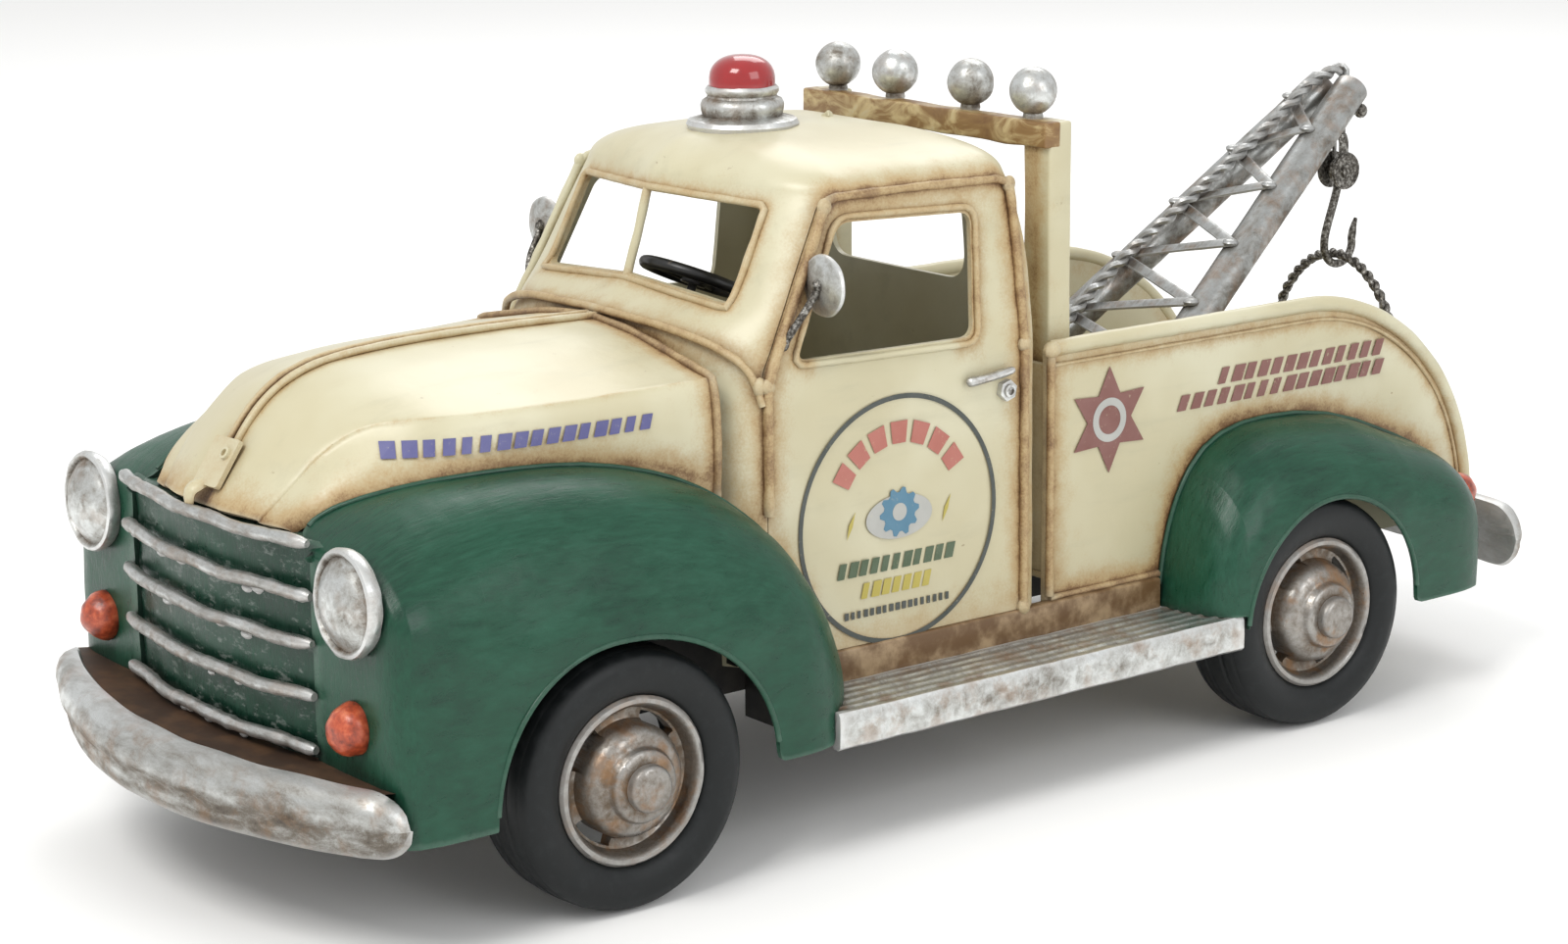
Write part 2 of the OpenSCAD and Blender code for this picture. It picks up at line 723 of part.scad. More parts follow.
// The twisted wire cable, laid along the braces from the tip down to the bed
function over_boom(t, x, h) =
    let (p = boom_foot + t * (boom_tip - boom_foot))
        [x, p[1] - h * sin(boom_rise), p[2] + h * cos(boom_rise)];
cable_route = [[0, 173.4, 143.6], [0, 171, 146.4], over_boom(0.98, 0, 7.6), over_boom(0.92, -1, 7.6),
               over_boom(0.8, -3.5, 7.5), over_boom(0.66, -7.5, 7.5), over_boom(0.54, -11, 7.5),
               over_boom(0.4, -12, 7.5), over_boom(0.22, -10, 7.5), over_boom(0.08, -5, 7.4),
               [-1, 42, 54.6], [0, 36, 53], [0, 30.4, 53]];
function ring_at(path, i, r, n) =
    let (a = path[max(i - 1, 0)], b = path[min(i + 1, len(path) - 1)], t = (b - a) / norm(b - a),
         u = cross(t, [1, 0, 0]) / norm(cross(t, [1, 0, 0])), v = cross(t, u))
    [for (k = [0:n - 1]) path[i] + r * (cos(360 * k / n) * u + sin(360 * k / n) * v)];
module tube_along(path, r, n = 8) {
    m = len(path);
    polyhedron(
        points = [for (i = [0:m - 1]) each ring_at(path, i, r, n)],
        faces = concat(
            [[for (k = [0:n - 1]) k]],
            [for (i = [0:m - 2]) for (k = [0:n - 1])
                [i * n + k, (i + 1) * n + k, (i + 1) * n + (k + 1) % n, i * n + (k + 1) % n]],
            [[for (k = [n - 1:-1:0]) (m - 1) * n + k]]));
}
module boom_cable() color(silver) tube_along(cable_route, 1.5);

// ---------------------------------------------------------------- hook

module at_x(y, z) translate([0, y, z]) rotate([0, 90, 0]) children();

// A strap round the pin that forks below into two cheeks, with the pulley's axle across them
module pulley_hanger() {
    strap_w = 3.6;
    fork_z = 129;
    cheek_x = 1.35;
    cheek_t = 0.6;
    color(silver) {
        difference() {
            union() {
                at_x(pin_y, pin_z) cylinder(h = 1.8, r = 1.9, center = true, $fn = 32);
                block([-0.6, pin_y - strap_w / 2, fork_z], [0.6, pin_y + strap_w / 2, pin_z]);
            }
            at_x(pin_y, pin_z)
                cylinder(h = far, r = pin_r + running_fit, center = true, $fn = 32);
        }
        block([-cheek_x - cheek_t, pin_y - strap_w / 2, fork_z - 1],
              [cheek_x + cheek_t, pin_y + strap_w / 2, fork_z]);
        both_sides() block([cheek_x, pin_y - strap_w / 2, pulley_z],
                           [cheek_x + cheek_t, pin_y + strap_w / 2, fork_z - 0.5]);
        at_x(pin_y, pulley_z)
            cylinder(h = 2 * (cheek_x + cheek_t) + 2.2, r = 1, center = true, $fn = 32);
    }
}

module pulley_discs() color(silver) both_sides() translate([2, pin_y, pulley_z])
    rotate([0, 90, 0]) difference() {
        cylinder(h = 1.2, r = pulley_r, $fn = 48);
        translate([0, 0, -1]) cylinder(h = 4, r = 1.03, $fn = 32);
    }

// One bent wire: an eye on the pulley's axle, a shank, a round bow and an open tip
module tow_hook() {
    eye_r = 1 + running_fit + hook_r;
    bow_y = pin_y + 0.6;
    start = 190;
    sweep = 178;
    a = [0, bow_y + bow_r * cos(start), bow_z + bow_r * sin(start)];
    b = [0, bow_y + bow_r * cos(start + sweep), bow_z + bow_r * sin(start + sweep)];
    color(silver) {
        at_x(pin_y, pulley_z) rotate_extrude($fn = 48)
            translate([eye_r, 0]) circle(hook_r, $fn = 24);
        rod([0, pin_y, pulley_z - eye_r], a, hook_r - 0.1);
        translate(a) sphere(hook_r + 0.2, $fn = 32);
        translate([0, bow_y, bow_z]) rotate([90, 0, 90]) rotate([0, 0, start])
            rotate_extrude(angle = sweep, $fn = 48) translate([bow_r, 0]) circle(hook_r, $fn = 24);
        rod(b - [0, 0.04, 0.2], b + [0, 0.9, 4.4], hook_r - 0.1);
    }
}

// A closed loop of twisted wire that hangs in the hook
module tow_sling() {
    flat = 3;
    bend_r = sling_r - flat + 1;
    color(silver) translate([0, pin_y, sling_z - bend_r]) {
        for (z = [-bend_r, bend_r])
            translate([0, 0, z]) rotate([0, 90, 0])
                cylinder(h = 2 * flat, r = sling_wire_r, center = true, $fn = 32);
        for (turn = [0, 180])
            rotate([0, turn, 0]) translate([flat, 0, 0]) rotate([90, 0, 0]) rotate([0, 0, -90])
                rotate_extrude(angle = 180, $fn = 64)
                    translate([bend_r, 0]) circle(sling_wire_r, $fn = 24);
    }
}

chassis_frame();
axle_tubes();
axles();
axle_caps();
cab_floor();
cab_shell();
cowl_panel();
windscreen_frame();
door(true);  // door_left
door(false);  // door_right
door_trim();
door_handles();
mirrors();
hood();
hood_strip();
hood_latch();
cowl_trim();
grille_panel();
grille_bars();
headlights();
parking_lamps();
front_fender(true);  // front_fender_left
front_fender(false);  // front_fender_right
front_bumper();
running_board(true);  // running_board_left
running_board(false);  // running_board_right
sills();
bed_floor();
bed_side(true);  // bed_side_left
bed_side(false);  // bed_side_right
headboard();
tailgate();
rear_fender(true);  // rear_fender_left
rear_fender(false);  // rear_fender_right
tail_lamps();
rear_bumper();
light_bar_posts();
light_bar_beam();
roof_lamps();
beacon_base();
beacon_lens();
steering_column();
steering_wheel();
boom_tube(true);  // boom_tube_left
boom_tube(false);  // boom_tube_right
boom_braces();
boom_cable();
boom_pin();
pulley_hanger();
pulley_discs();
tow_hook();
tow_sling();
at_wheel(front_y, true) tyre();  // tyre_front_left
at_wheel(front_y, false) tyre();  // tyre_front_right
at_wheel(rear_y, true) tyre();  // tyre_rear_left
at_wheel(rear_y, false) tyre();  // tyre_rear_right
at_wheel(front_y, true) rim();  // rim_front_left
at_wheel(front_y, false) rim();  // rim_front_right
at_wheel(rear_y, true) rim();  // rim_rear_left
at_wheel(rear_y, false) rim();  // rim_rear_right
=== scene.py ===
import math

import bpy
import bmesh
import numpy as np
from mathutils import Matrix, Vector
from mathutils.kdtree import KDTree


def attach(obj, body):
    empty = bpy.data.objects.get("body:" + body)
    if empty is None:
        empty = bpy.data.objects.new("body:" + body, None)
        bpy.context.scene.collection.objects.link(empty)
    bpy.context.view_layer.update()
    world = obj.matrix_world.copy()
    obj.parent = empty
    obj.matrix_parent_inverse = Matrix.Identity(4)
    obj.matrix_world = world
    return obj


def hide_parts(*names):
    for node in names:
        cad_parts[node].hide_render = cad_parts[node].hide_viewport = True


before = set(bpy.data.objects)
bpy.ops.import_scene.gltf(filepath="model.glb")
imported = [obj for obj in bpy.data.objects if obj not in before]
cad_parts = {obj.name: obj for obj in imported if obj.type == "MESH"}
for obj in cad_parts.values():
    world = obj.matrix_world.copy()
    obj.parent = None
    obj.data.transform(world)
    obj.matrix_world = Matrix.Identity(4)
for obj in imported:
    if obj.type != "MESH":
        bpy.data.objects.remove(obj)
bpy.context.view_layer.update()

MM = 0.001
TRUCK = "truck"
SIDES = (("left", 1), ("right", -1))
rng = np.random.default_rng(11)

# what several parts share, in millimetres like every other size in this script
AXLE_Y = {"front": -102.0, "rear": 98.0}
AXLE_Z = 28
WHEEL_X = 58.8
BEACON_Y = -22
PIN_Y, PIN_Z = 171.9, 135.8
PULLEY_Z = 120


# ---------------------------------------------------------------- shapes, in millimetres

def lerp(a, b, t):
    return [p + (q - p) * t for p, q in zip(a, b)]


def angles(count, start=0.0):
    """That many angles, evenly spaced round a full turn."""
    return np.linspace(start, start + 2 * math.pi, count, endpoint=False)


def stations(pts):
    """How far along a path each of its points lies."""
    return np.concatenate([[0], np.cumsum(np.linalg.norm(np.diff(pts, axis=0), axis=1))])


def directions(path):
    """The unit direction of a path at each of its points."""
    ahead = np.gradient(np.array(path, float), axis=0)
    return ahead / np.linalg.norm(ahead, axis=1)[:, None]


def catmull_rom(p0, p1, p2, p3, t):
    """The point at the share t of the way from p1 to p2 on a Catmull-Rom curve."""
    return 0.5 * (2 * p1 + (p2 - p0) * t + (2 * p0 - 5 * p1 + 4 * p2 - p3) * t * t
                  + (3 * p1 - p0 - 3 * p2 + p3) * t ** 3)


def spline(points, count):
    """A Catmull-Rom curve through the points, with count points, evenly spaced by station."""
    pts = np.array(points, float)
    last = len(pts) - 1
    out = []
    for k in range(count):
        s = last * k / (count - 1)
        i = min(int(s), last - 1)
        out.append(catmull_rom(pts[max(i - 1, 0)], pts[i], pts[i + 1], pts[min(i + 2, last)],
                               s - i))
    return np.array(out)


def resample(points, step):
    """The same open path with points about step apart."""
    pts = np.array(points, float)
    s = stations(pts)
    n = max(int(s[-1] / step) + 1, 2)
    want = np.linspace(0, s[-1], n)
    return np.stack([np.interp(want, s, pts[:, k]) for k in range(pts.shape[1])], 1)


def rounded_outline(corners, radii, steps=6):
    """A closed outline in 2-D whose corners are rounded by quadratic curves of those radii."""
    out = []
    n = len(corners)
    for i in range(n):
        p = np.array(corners[i], float)
        a = np.array(corners[i - 1], float) - p
        b = np.array(corners[(i + 1) % n], float) - p
        r = radii[i] if hasattr(radii, "__len__") else radii
        ra = min(r, np.linalg.norm(a) * 0.48)
        rb = min(r, np.linalg.norm(b) * 0.48)
        start = p + a / np.linalg.norm(a) * ra
        end = p + b / np.linalg.norm(b) * rb
        for k in range(steps + 1):
            t = k / steps
            out.append((1 - t) ** 2 * start + 2 * t * (1 - t) * p + t * t * end)
    return np.array(out)


def mirrored(points):
    """The same points on the other side of the truck."""
    return [(-p[0], p[1], p[2]) for p in points]


class Shape:
    """Collects points and faces, and makes one mesh object of them."""

    def __init__(self):
        self.points = []
        self.faces = []

    def add(self, points, faces):
        """Adds faces that count their points from the first of these points."""
        base = len(self.points)
        self.points += [tuple(float(c) for c in p) for p in points]
        self.faces += [tuple(base + i for i in f) for f in faces]
        return self

    def grid(self, rows, closed=False):
        """A sheet through rows of points. closed joins each row's end to its start."""
        n = len(rows[0])
        faces = []
        for i in range(len(rows) - 1):
            for j in range(n if closed else n - 1):
                k = (j + 1) % n
                faces.append((i * n + j, i * n + k, (i + 1) * n + k, (i + 1) * n + j))
        return self.add([p for row in rows for p in row], faces)

    def tube(self, path, radius, sides=10, closed=False, caps=True, squash=1.0):
        """A round bar along a path. radius is a number or one number for each point."""
        pts = np.array(path, float)
        n = len(pts)
        r = np.full(n, radius, float) if np.isscalar(radius) else np.array(radius, float)
        if closed:
            tangent = np.roll(pts, -1, 0) - np.roll(pts, 1, 0)
        else:
            tangent = np.gradient(pts, axis=0)
        tangent /= np.linalg.norm(tangent, axis=1)[:, None] + 1e-12
        helper = np.array([0.31, 0.17, 1.0])
        if abs(tangent[0] @ helper) / np.linalg.norm(helper) > 0.95:
            helper = np.array([1.0, 0.2, 0.1])
        u = np.cross(tangent[0], helper)
        rows = []
        for i in range(n):
            u = u - tangent[i] * (u @ tangent[i])
            u /= np.linalg.norm(u)
            v = np.cross(tangent[i], u)
            rows.append([pts[i] + r[i] * (math.cos(a) * u + squash * math.sin(a) * v)
                         for a in angles(sides)])
        if closed:
            # the last ring is joined to the first with the twist that is left between them
            shift = int(np.argmin([np.linalg.norm(rows[-1][k] - rows[0][0])
                                   for k in range(sides)]))
            turned = [rows[0][(k - shift) % sides] for k in range(sides)]
            self.grid(rows + [turned], True)
            return self
        self.grid(rows, True)
        return self.capped(sides, n) if caps else self

    def capped(self, sides, rows):
        """Closes both ends of the last grid, which has that many rows of that many sides."""
        base = len(self.points) - rows * sides
        self.faces.append(tuple(base + k for k in range(sides)))
        self.faces.append(tuple(base + (rows - 1) * sides + k for k in range(sides - 1, -1, -1)))
        return self

    def lathe(self, profile, origin, axis, sides=48):
        """Turns a profile of (radius, height) about the axis through origin."""
        axis = np.array(axis, float) / np.linalg.norm(axis)
        helper = np.array([0, 0, 1.0]) if abs(axis[2]) < 0.9 else np.array([0, 1.0, 0])
        u = np.cross(axis, helper)
        u /= np.linalg.norm(u)
        v = np.cross(axis, u)
        rows = []
        for r, h in profile:
            r = max(r, 1e-4)
            rows.append([np.array(origin) + axis * h + r * (math.cos(a) * u + math.sin(a) * v)
                         for a in angles(sides)])
        return self.grid(rows, True)

    def box(self, low, high):
        x0, y0, z0 = low
        x1, y1, z1 = high
        pts = [(x0, y0, z0), (x1, y0, z0), (x1, y1, z0), (x0, y1, z0),
               (x0, y0, z1), (x1, y0, z1), (x1, y1, z1), (x0, y1, z1)]
        return self.add(pts, [(0, 3, 2, 1), (4, 5, 6, 7), (0, 1, 5, 4), (1, 2, 6, 5),
                              (2, 3, 7, 6), (3, 0, 4, 7)])

    def prism(self, outline, axis, low, high):
        """A 2-D outline pushed along axis 0, 1 or 2 from low to high."""
        def place(p, h):
            q = list(p)
            q.insert(axis, h)
            return q
        n = len(outline)
        pts = [place(p, low) for p in outline] + [place(p, high) for p in outline]
        faces = [tuple(range(n)), tuple(range(2 * n - 1, n - 1, -1))]
        faces += [(i, i + n, (i + 1) % n + n, (i + 1) % n) for i in range(n)]
        return self.add(pts, faces)

    def blob(self, centre, radius, squash=(1, 1, 1), sides=10):
        """A small ball, such as a drop of solder, squashed along each axis."""
        rows = []
        for i in range(7):
            a = -math.pi / 2 + math.pi * i / 6
            ring = []
            for b in angles(sides):
                d = (math.cos(a) * math.cos(b), math.cos(a) * math.sin(b), math.sin(a))
                ring.append([centre[k] + radius * squash[k] * d[k] for k in range(3)])
            rows.append(ring)
        return self.grid(rows, True)

    def plate(self, low, high):
        """A closed plate between two outlines with as many points each."""
        n = len(low)
        return self.add(low + high, [tuple(range(n - 1, -1, -1)), tuple(range(n, 2 * n))]
                        + [(i, (i + 1) % n, n + (i + 1) % n, n + i) for i in range(n)])

    def both(self):
        """Adds the mirror image on the other side of the truck."""
        n = len(self.points)
        self.points += mirrored(self.points)
        self.faces += [tuple(i + n for i in reversed(f)) for f in self.faces[:]]
        return self

    def make(self, name, weld=0.004, smooth=True):
        """Makes the object, with points closer than weld joined."""
        mesh = bpy.data.meshes.new(name)
        mesh.from_pydata([tuple(c * MM for c in p) for p in self.points], [], self.faces)
        obj = bpy.data.objects.new(name, mesh)
        bpy.context.scene.collection.objects.link(obj)
        bm = bmesh.new()
        bm.from_mesh(mesh)
        bmesh.ops.remove_doubles(bm, verts=bm.verts, dist=weld * MM)
        bmesh.ops.dissolve_degenerate(bm, dist=weld * MM * 0.5, edges=bm.edges)
        bmesh.ops.recalc_face_normals(bm, faces=bm.faces)
        for f in bm.faces:
            f.smooth = smooth
        bm.to_mesh(mesh)
        bm.free()
        return obj


def copied(source, name, flipped=False):
    """A copy of an object, moved to the other side of the truck if flipped."""
    obj = bpy.data.objects.new(name, source.data.copy())
    bpy.context.scene.collection.objects.link(obj)
    if flipped:
        obj.data.transform(Matrix.Scale(-1, 4, (1, 0, 0)))
        obj.data.flip_normals()
    return obj


def baked(obj):
    """Applies the object's modifiers to its mesh."""
    graph = bpy.context.evaluated_depsgraph_get()
    mesh = bpy.data.meshes.new_from_object(obj.evaluated_get(graph))
    obj.modifiers.clear()
    obj.data = mesh
    return obj


def facing_out(obj, inside):
    """Turns the faces of an open panel so that they face away from a point inside."""
    centre = Vector(inside) * MM
    mesh = obj.data
    total = sum((p.center - centre).normalized().dot(p.normal) * p.area for p in mesh.polygons)
    if total < 0:
        mesh.flip_normals()
    return obj


def subdivided(obj, levels):
    """Smooths a mesh by subdividing it."""
    m = obj.modifiers.new("smooth", "SUBSURF")
    m.levels = levels
    m.render_levels = levels
    return baked(obj)


def subdivide_long(obj, mm):
    """Cuts long faces into short ones, so that wear can be stored at their points."""
    bm = bmesh.new()
    bm.from_mesh(obj.data)
    for _ in range(6):
        edges = [e for e in bm.edges if e.calc_length() > mm * 1.5 * MM]
        if not edges:
            break
        bmesh.ops.subdivide_edges(bm, edges=edges, cuts=1, use_grid_fill=True)
    bm.to_mesh(obj.data)
    bm.free()
    return obj


def relaxed(obj, above, rounds):
    """Evens out the points that lie above a height, so that the crown of the roof is smooth."""
    bm = bmesh.new()
    bm.from_mesh(obj.data)
    high = [v for v in bm.verts if v.co.z > above * MM]
    for _ in range(rounds):
        bmesh.ops.smooth_vert(bm, verts=high, factor=0.5, use_axis_x=True, use_axis_y=True,
                              use_axis_z=True)
    bm.to_mesh(obj.data)
    bm.free()
    return obj


def thick(obj, mm, inner_material=0):
    """Gives a sheet its thickness, on its inner side."""
    m = obj.modifiers.new("sheet", "SOLIDIFY")
    m.thickness = mm * MM
    m.offset = -1
    m.material_offset = inner_material
    return baked(obj)


def bevelled(obj, mm, segments=3, angle=35):
    """Rounds the edges that are sharper than an angle."""
    m = obj.modifiers.new("edge", "BEVEL")
    m.width = mm * MM
    m.segments = segments
    m.limit_method = "ANGLE"
    m.angle_limit = math.radians(angle)
    m.harden_normals = False
    return baked(obj)


def cut(obj, cutter, how="DIFFERENCE"):
    """Cuts an object with another one, which stays as it is."""
    m = obj.modifiers.new("cut", "BOOLEAN")
    m.operation = how
    m.object = cutter
    m.solver = "EXACT"
    return baked(obj)


def dropped(obj):
    bpy.data.objects.remove(obj)


def wobbled(obj, mm, size, seed=0):
    """Moves each point a little along its normal, so that handmade work isn't perfectly even."""
    mesh = obj.data
    n = len(mesh.vertices)
    co = np.empty(n * 3)
    mesh.vertices.foreach_get("co", co)
    co = co.reshape(-1, 3)
    normals = np.array([v.normal for v in mesh.vertices])
    gen = np.random.default_rng(seed)
    total = np.zeros(n)
    for k in range(5):
        direction = gen.normal(size=3)
        direction /= np.linalg.norm(direction)
        wave = 2 * math.pi / (size * MM * gen.uniform(0.6, 1.6))
        total += np.sin(co @ direction * wave + gen.uniform(0, 6.28))
    co += normals * (total / 5 * mm * MM)[:, None]
    mesh.vertices.foreach_set("co", co.reshape(-1))
    mesh.update()
    return obj


SEAMS = []


def seam(path, width=4.0, strength=1.0):
    """Remembers a line along which the paint is worn to brown."""
    for p in resample(path, 1.2):
        SEAMS.append((tuple(p), width, strength))


def seam_attribute(obj):
    """How close each point of a painted piece lies to the remembered lines, from 0 to 1."""
    mesh = obj.data
    groups = {}
    for p, width, strength in SEAMS:
        groups.setdefault((width, strength), []).append(p)
    best = np.zeros(len(mesh.vertices))
    for (width, strength), points in groups.items():
        tree = KDTree(len(points))
        for i, p in enumerate(points):
            tree.insert(Vector(p) * MM, i)
        tree.balance()
        for v in mesh.vertices:
            d = tree.find(v.co)[2] / MM
            value = strength * math.exp(-(d / width) ** 1.4)
            if value > best[v.index]:
                best[v.index] = value
    attribute = mesh.attributes.new("seam", "FLOAT", "POINT")
    attribute.data.foreach_set("value", best.astype(np.float32))


SEAMED = []


def piece(obj, material, body=TRUCK, replaces=(), sharp=38, seams=False, inner=None):
    """Gives a finished mesh its material, its body and the CAD nodes that it stands for."""
    obj.data.materials.clear()
    obj.data.materials.append(material)
    if inner:
        obj.data.materials.append(inner)
    obj.data.set_sharp_from_angle(angle=math.radians(sharp))
    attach(obj, body)
    if replaces:
        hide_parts(*replaces)
    if seams:
        SEAMED.append(obj)
    return obj


# ---------------------------------------------------------------- materials

class Paint:
    """A procedural material on one Principled shader, with its patterns sized in millimetres."""

    def __init__(self, name):
        self.material = bpy.data.materials.new(name)
        self.material.use_nodes = True
        self.tree = self.material.node_tree
        self.bsdf = self.tree.nodes["Principled BSDF"]
        place = self.node("TexCoord")
        scale = self.node("VectorMath")
        scale.operation = "SCALE"
        scale.inputs["Scale"].default_value = 1000
        self.tree.links.new(place.outputs["Object"], scale.inputs[0])
        self.mm = scale.outputs[0]

    def node(self, kind):
        return self.tree.nodes.new("ShaderNode" + kind)

    def put(self, socket, value):
        """Links or sets an input, whichever the value asks for."""
        if isinstance(value, bpy.types.NodeSocket):
            self.tree.links.new(value, socket)
        elif isinstance(value, (tuple, list)) and len(value) == 3 and socket.type == "RGBA":
            socket.default_value = (*value, 1)
        else:
            socket.default_value = value

    def math(self, op, a, b=0.0, clamp=False):
        n = self.node("Math")
        n.operation = op
        n.use_clamp = clamp
        self.put(n.inputs[0], a)
        self.put(n.inputs[1], b)
        return n.outputs[0]

    def minus(self, a, b):
        return self.math("SUBTRACT", a, b)

    def plus(self, a, b):
        return self.math("ADD", a, b)

    def times(self, a, b):
        return self.math("MULTIPLY", a, b)

    def noise(self, size, detail=4, rough=0.55, stretch=(1, 1, 1), shift=0.0, distort=0.0):
        """Noise whose grains are about size mm, longer along an axis by its stretch."""
        m = self.node("Mapping")
        self.put(m.inputs["Vector"], self.mm)
        m.inputs["Scale"].default_value = tuple(1 / (size * s) for s in stretch)
        m.inputs["Location"].default_value = (shift, shift * 1.7, shift * 0.6)
        n = self.node("TexNoise")
        n.inputs["Scale"].default_value = 1
        n.inputs["Detail"].default_value = detail
        n.inputs["Roughness"].default_value = rough
        n.inputs["Distortion"].default_value = distort
        self.tree.links.new(m.outputs[0], n.inputs["Vector"])
        return n.outputs["Fac"]

    def step(self, value, low, high, to_low=0.0, to_high=1.0):
        """A smooth step from to_low to to_high as the value goes from low to high."""
        n = self.node("MapRange")
        n.interpolation_type = "SMOOTHSTEP"
        self.put(n.inputs["Value"], value)
        n.inputs["From Min"].default_value = low
        n.inputs["From Max"].default_value = high
        n.inputs["To Min"].default_value = to_low
        n.inputs["To Max"].default_value = to_high
        return n.outputs["Result"]

    def mix(self, fac, a, b):
        """Mixes two colours. Inputs 6 and 7 and output 2 are the Mix node's colour sockets."""
        n = self.node("Mix")
        n.data_type = "RGBA"
        self.put(n.inputs["Factor"], fac)
        self.put(n.inputs[6], a)
        self.put(n.inputs[7], b)
        return n.outputs[2]

    def ramp(self, fac, stops):
        """A colour ramp through (position, colour) stops."""
        n = self.node("ValToRGB")
        self.put(n.inputs[0], fac)
        while len(n.color_ramp.elements) < len(stops):
            n.color_ramp.elements.new(0.5)
        for element, (at, colour) in zip(n.color_ramp.elements, stops):
            element.position = at
            element.color = (*colour, 1)
        return n.outputs[0]

    def attribute(self, name):
        n = self.node("Attribute")
        n.attribute_name = name
        return n.outputs["Fac"]

    def edge(self):
        """Above 0.5 on edges that stand out, and below it in corners."""
        n = self.node("NewGeometry")
        return n.outputs["Pointiness"]

    def upward(self):
        """The height part of the surface's normal, 1 on what faces up and -1 on what faces down."""
        split = self.node("SeparateXYZ")
        self.tree.links.new(self.node("NewGeometry").outputs["Normal"], split.inputs[0])
        return split.outputs[2]

    def hollow(self, distance=4.0):
        """Near 1 where other surfaces stand close by, within a distance in mm."""
        n = self.node("AmbientOcclusion")
        n.samples = 6
        n.inputs["Distance"].default_value = distance * MM
        return self.math("SUBTRACT", 1.0, n.outputs["AO"], True)

    def bump(self, height, strength=0.3, distance=0.2):
        n = self.node("Bump")
        n.inputs["Strength"].default_value = strength
        n.inputs["Distance"].default_value = distance * MM
        self.put(n.inputs["Height"], height)
        return n.outputs["Normal"]

    def finish(self, colour, rough, metal=0.0, normal=None, **more):
        """Sets the shader's inputs, with the rest named by their sockets, and gives the material."""
        self.put(self.bsdf.inputs["Base Color"], colour)
        self.put(self.bsdf.inputs["Roughness"], rough)
        self.put(self.bsdf.inputs["Metallic"], metal)
        if normal is not None:
            self.tree.links.new(normal, self.bsdf.inputs["Normal"])
        for name, value in more.items():
            self.put(self.bsdf.inputs[name.replace("_", " ")], value)
        return self.material


IVORY = (0.505, 0.460, 0.300)
IVORY_LIGHT = (0.575, 0.545, 0.390)
IVORY_GREY = (0.410, 0.385, 0.260)
OCHRE = (0.400, 0.262, 0.110)
BROWN = (0.175, 0.088, 0.032)
DARK_BROWN = (0.070, 0.036, 0.016)


def cream_paint(name="cream_paint", age=1.0):
    """Ivory enamel, brown along the seams and chipped, more so with age."""
    p = Paint(name)
    broad = p.noise(34, 3, 0.5)
    fine = p.noise(0.55, 3, 0.7)
    blotch = p.noise(5.5, 5, 0.62, shift=3.1)
    streak = p.noise(6, 4, 0.6, stretch=(1, 4.5, 1), shift=8.0)
    base = p.mix(p.step(broad, 0.35, 0.68), IVORY, IVORY_LIGHT)
    base = p.mix(p.step(streak, 0.5, 0.82, 0, 0.45), base, IVORY_GREY)
    # brown worn in along the seams, thinning out into specks
    near = p.plus(p.times(p.attribute("seam"), 0.95 * age), p.times(p.hollow(5), 0.40 * age))
    wander = p.plus(p.times(p.minus(blotch, 0.5), 0.85),
                    p.times(p.minus(fine, 0.5), 0.55))
    worn = p.plus(near, wander)
    wash = p.step(worn, 0.10, 0.86)
    deep = p.step(worn, 0.68, 1.10)
    black = p.step(worn, 1.00, 1.30)
    colour = p.mix(p.times(wash, 0.88), base, OCHRE)
    colour = p.mix(deep, colour, BROWN)
    colour = p.mix(p.times(black, 0.8), colour, DARK_BROWN)
    chips = p.step(p.noise(3.2, 6, 0.7, stretch=(1, 1.8, 1), shift=15.0), 0.685, 0.71)
    colour = p.mix(p.times(chips, 0.6), colour, BROWN)
    rub = p.step(p.edge(), 0.53, 0.60)
    colour = p.mix(p.times(rub, 0.35), colour, IVORY_LIGHT)
    rough = p.plus(0.36, p.times(wash, 0.22))
    height = p.plus(p.times(p.noise(9, 3), 1.2), p.plus(p.times(fine, 0.12),
                                                       p.times(chips, -0.35)))
    normal = p.bump(height, 0.35, 0.35)
    return p.finish(colour, rough, 0.0, normal, Coat_Weight=0.12, Coat_Roughness=0.25)


def ochre_paint():
    """The light bar's swirled brown and ivory."""
    p = Paint("bar_paint")
    swirl = p.noise(6, 6, 0.6, stretch=(1.6, 1, 1), distort=0.9)
    colour = p.ramp(swirl, [(0.30, BROWN), (0.46, (0.24, 0.14, 0.05)), (0.60, (0.50, 0.39, 0.20)),
                            (0.74, IVORY)])
    normal = p.bump(swirl, 0.3, 0.2)
    return p.finish(colour, 0.42, 0.0, normal)


GREEN = (0.0062, 0.0540, 0.0285)
GREEN_LIGHT = (0.0150, 0.0900, 0.0520)
GREEN_DARK = (0.0030, 0.0260, 0.0150)


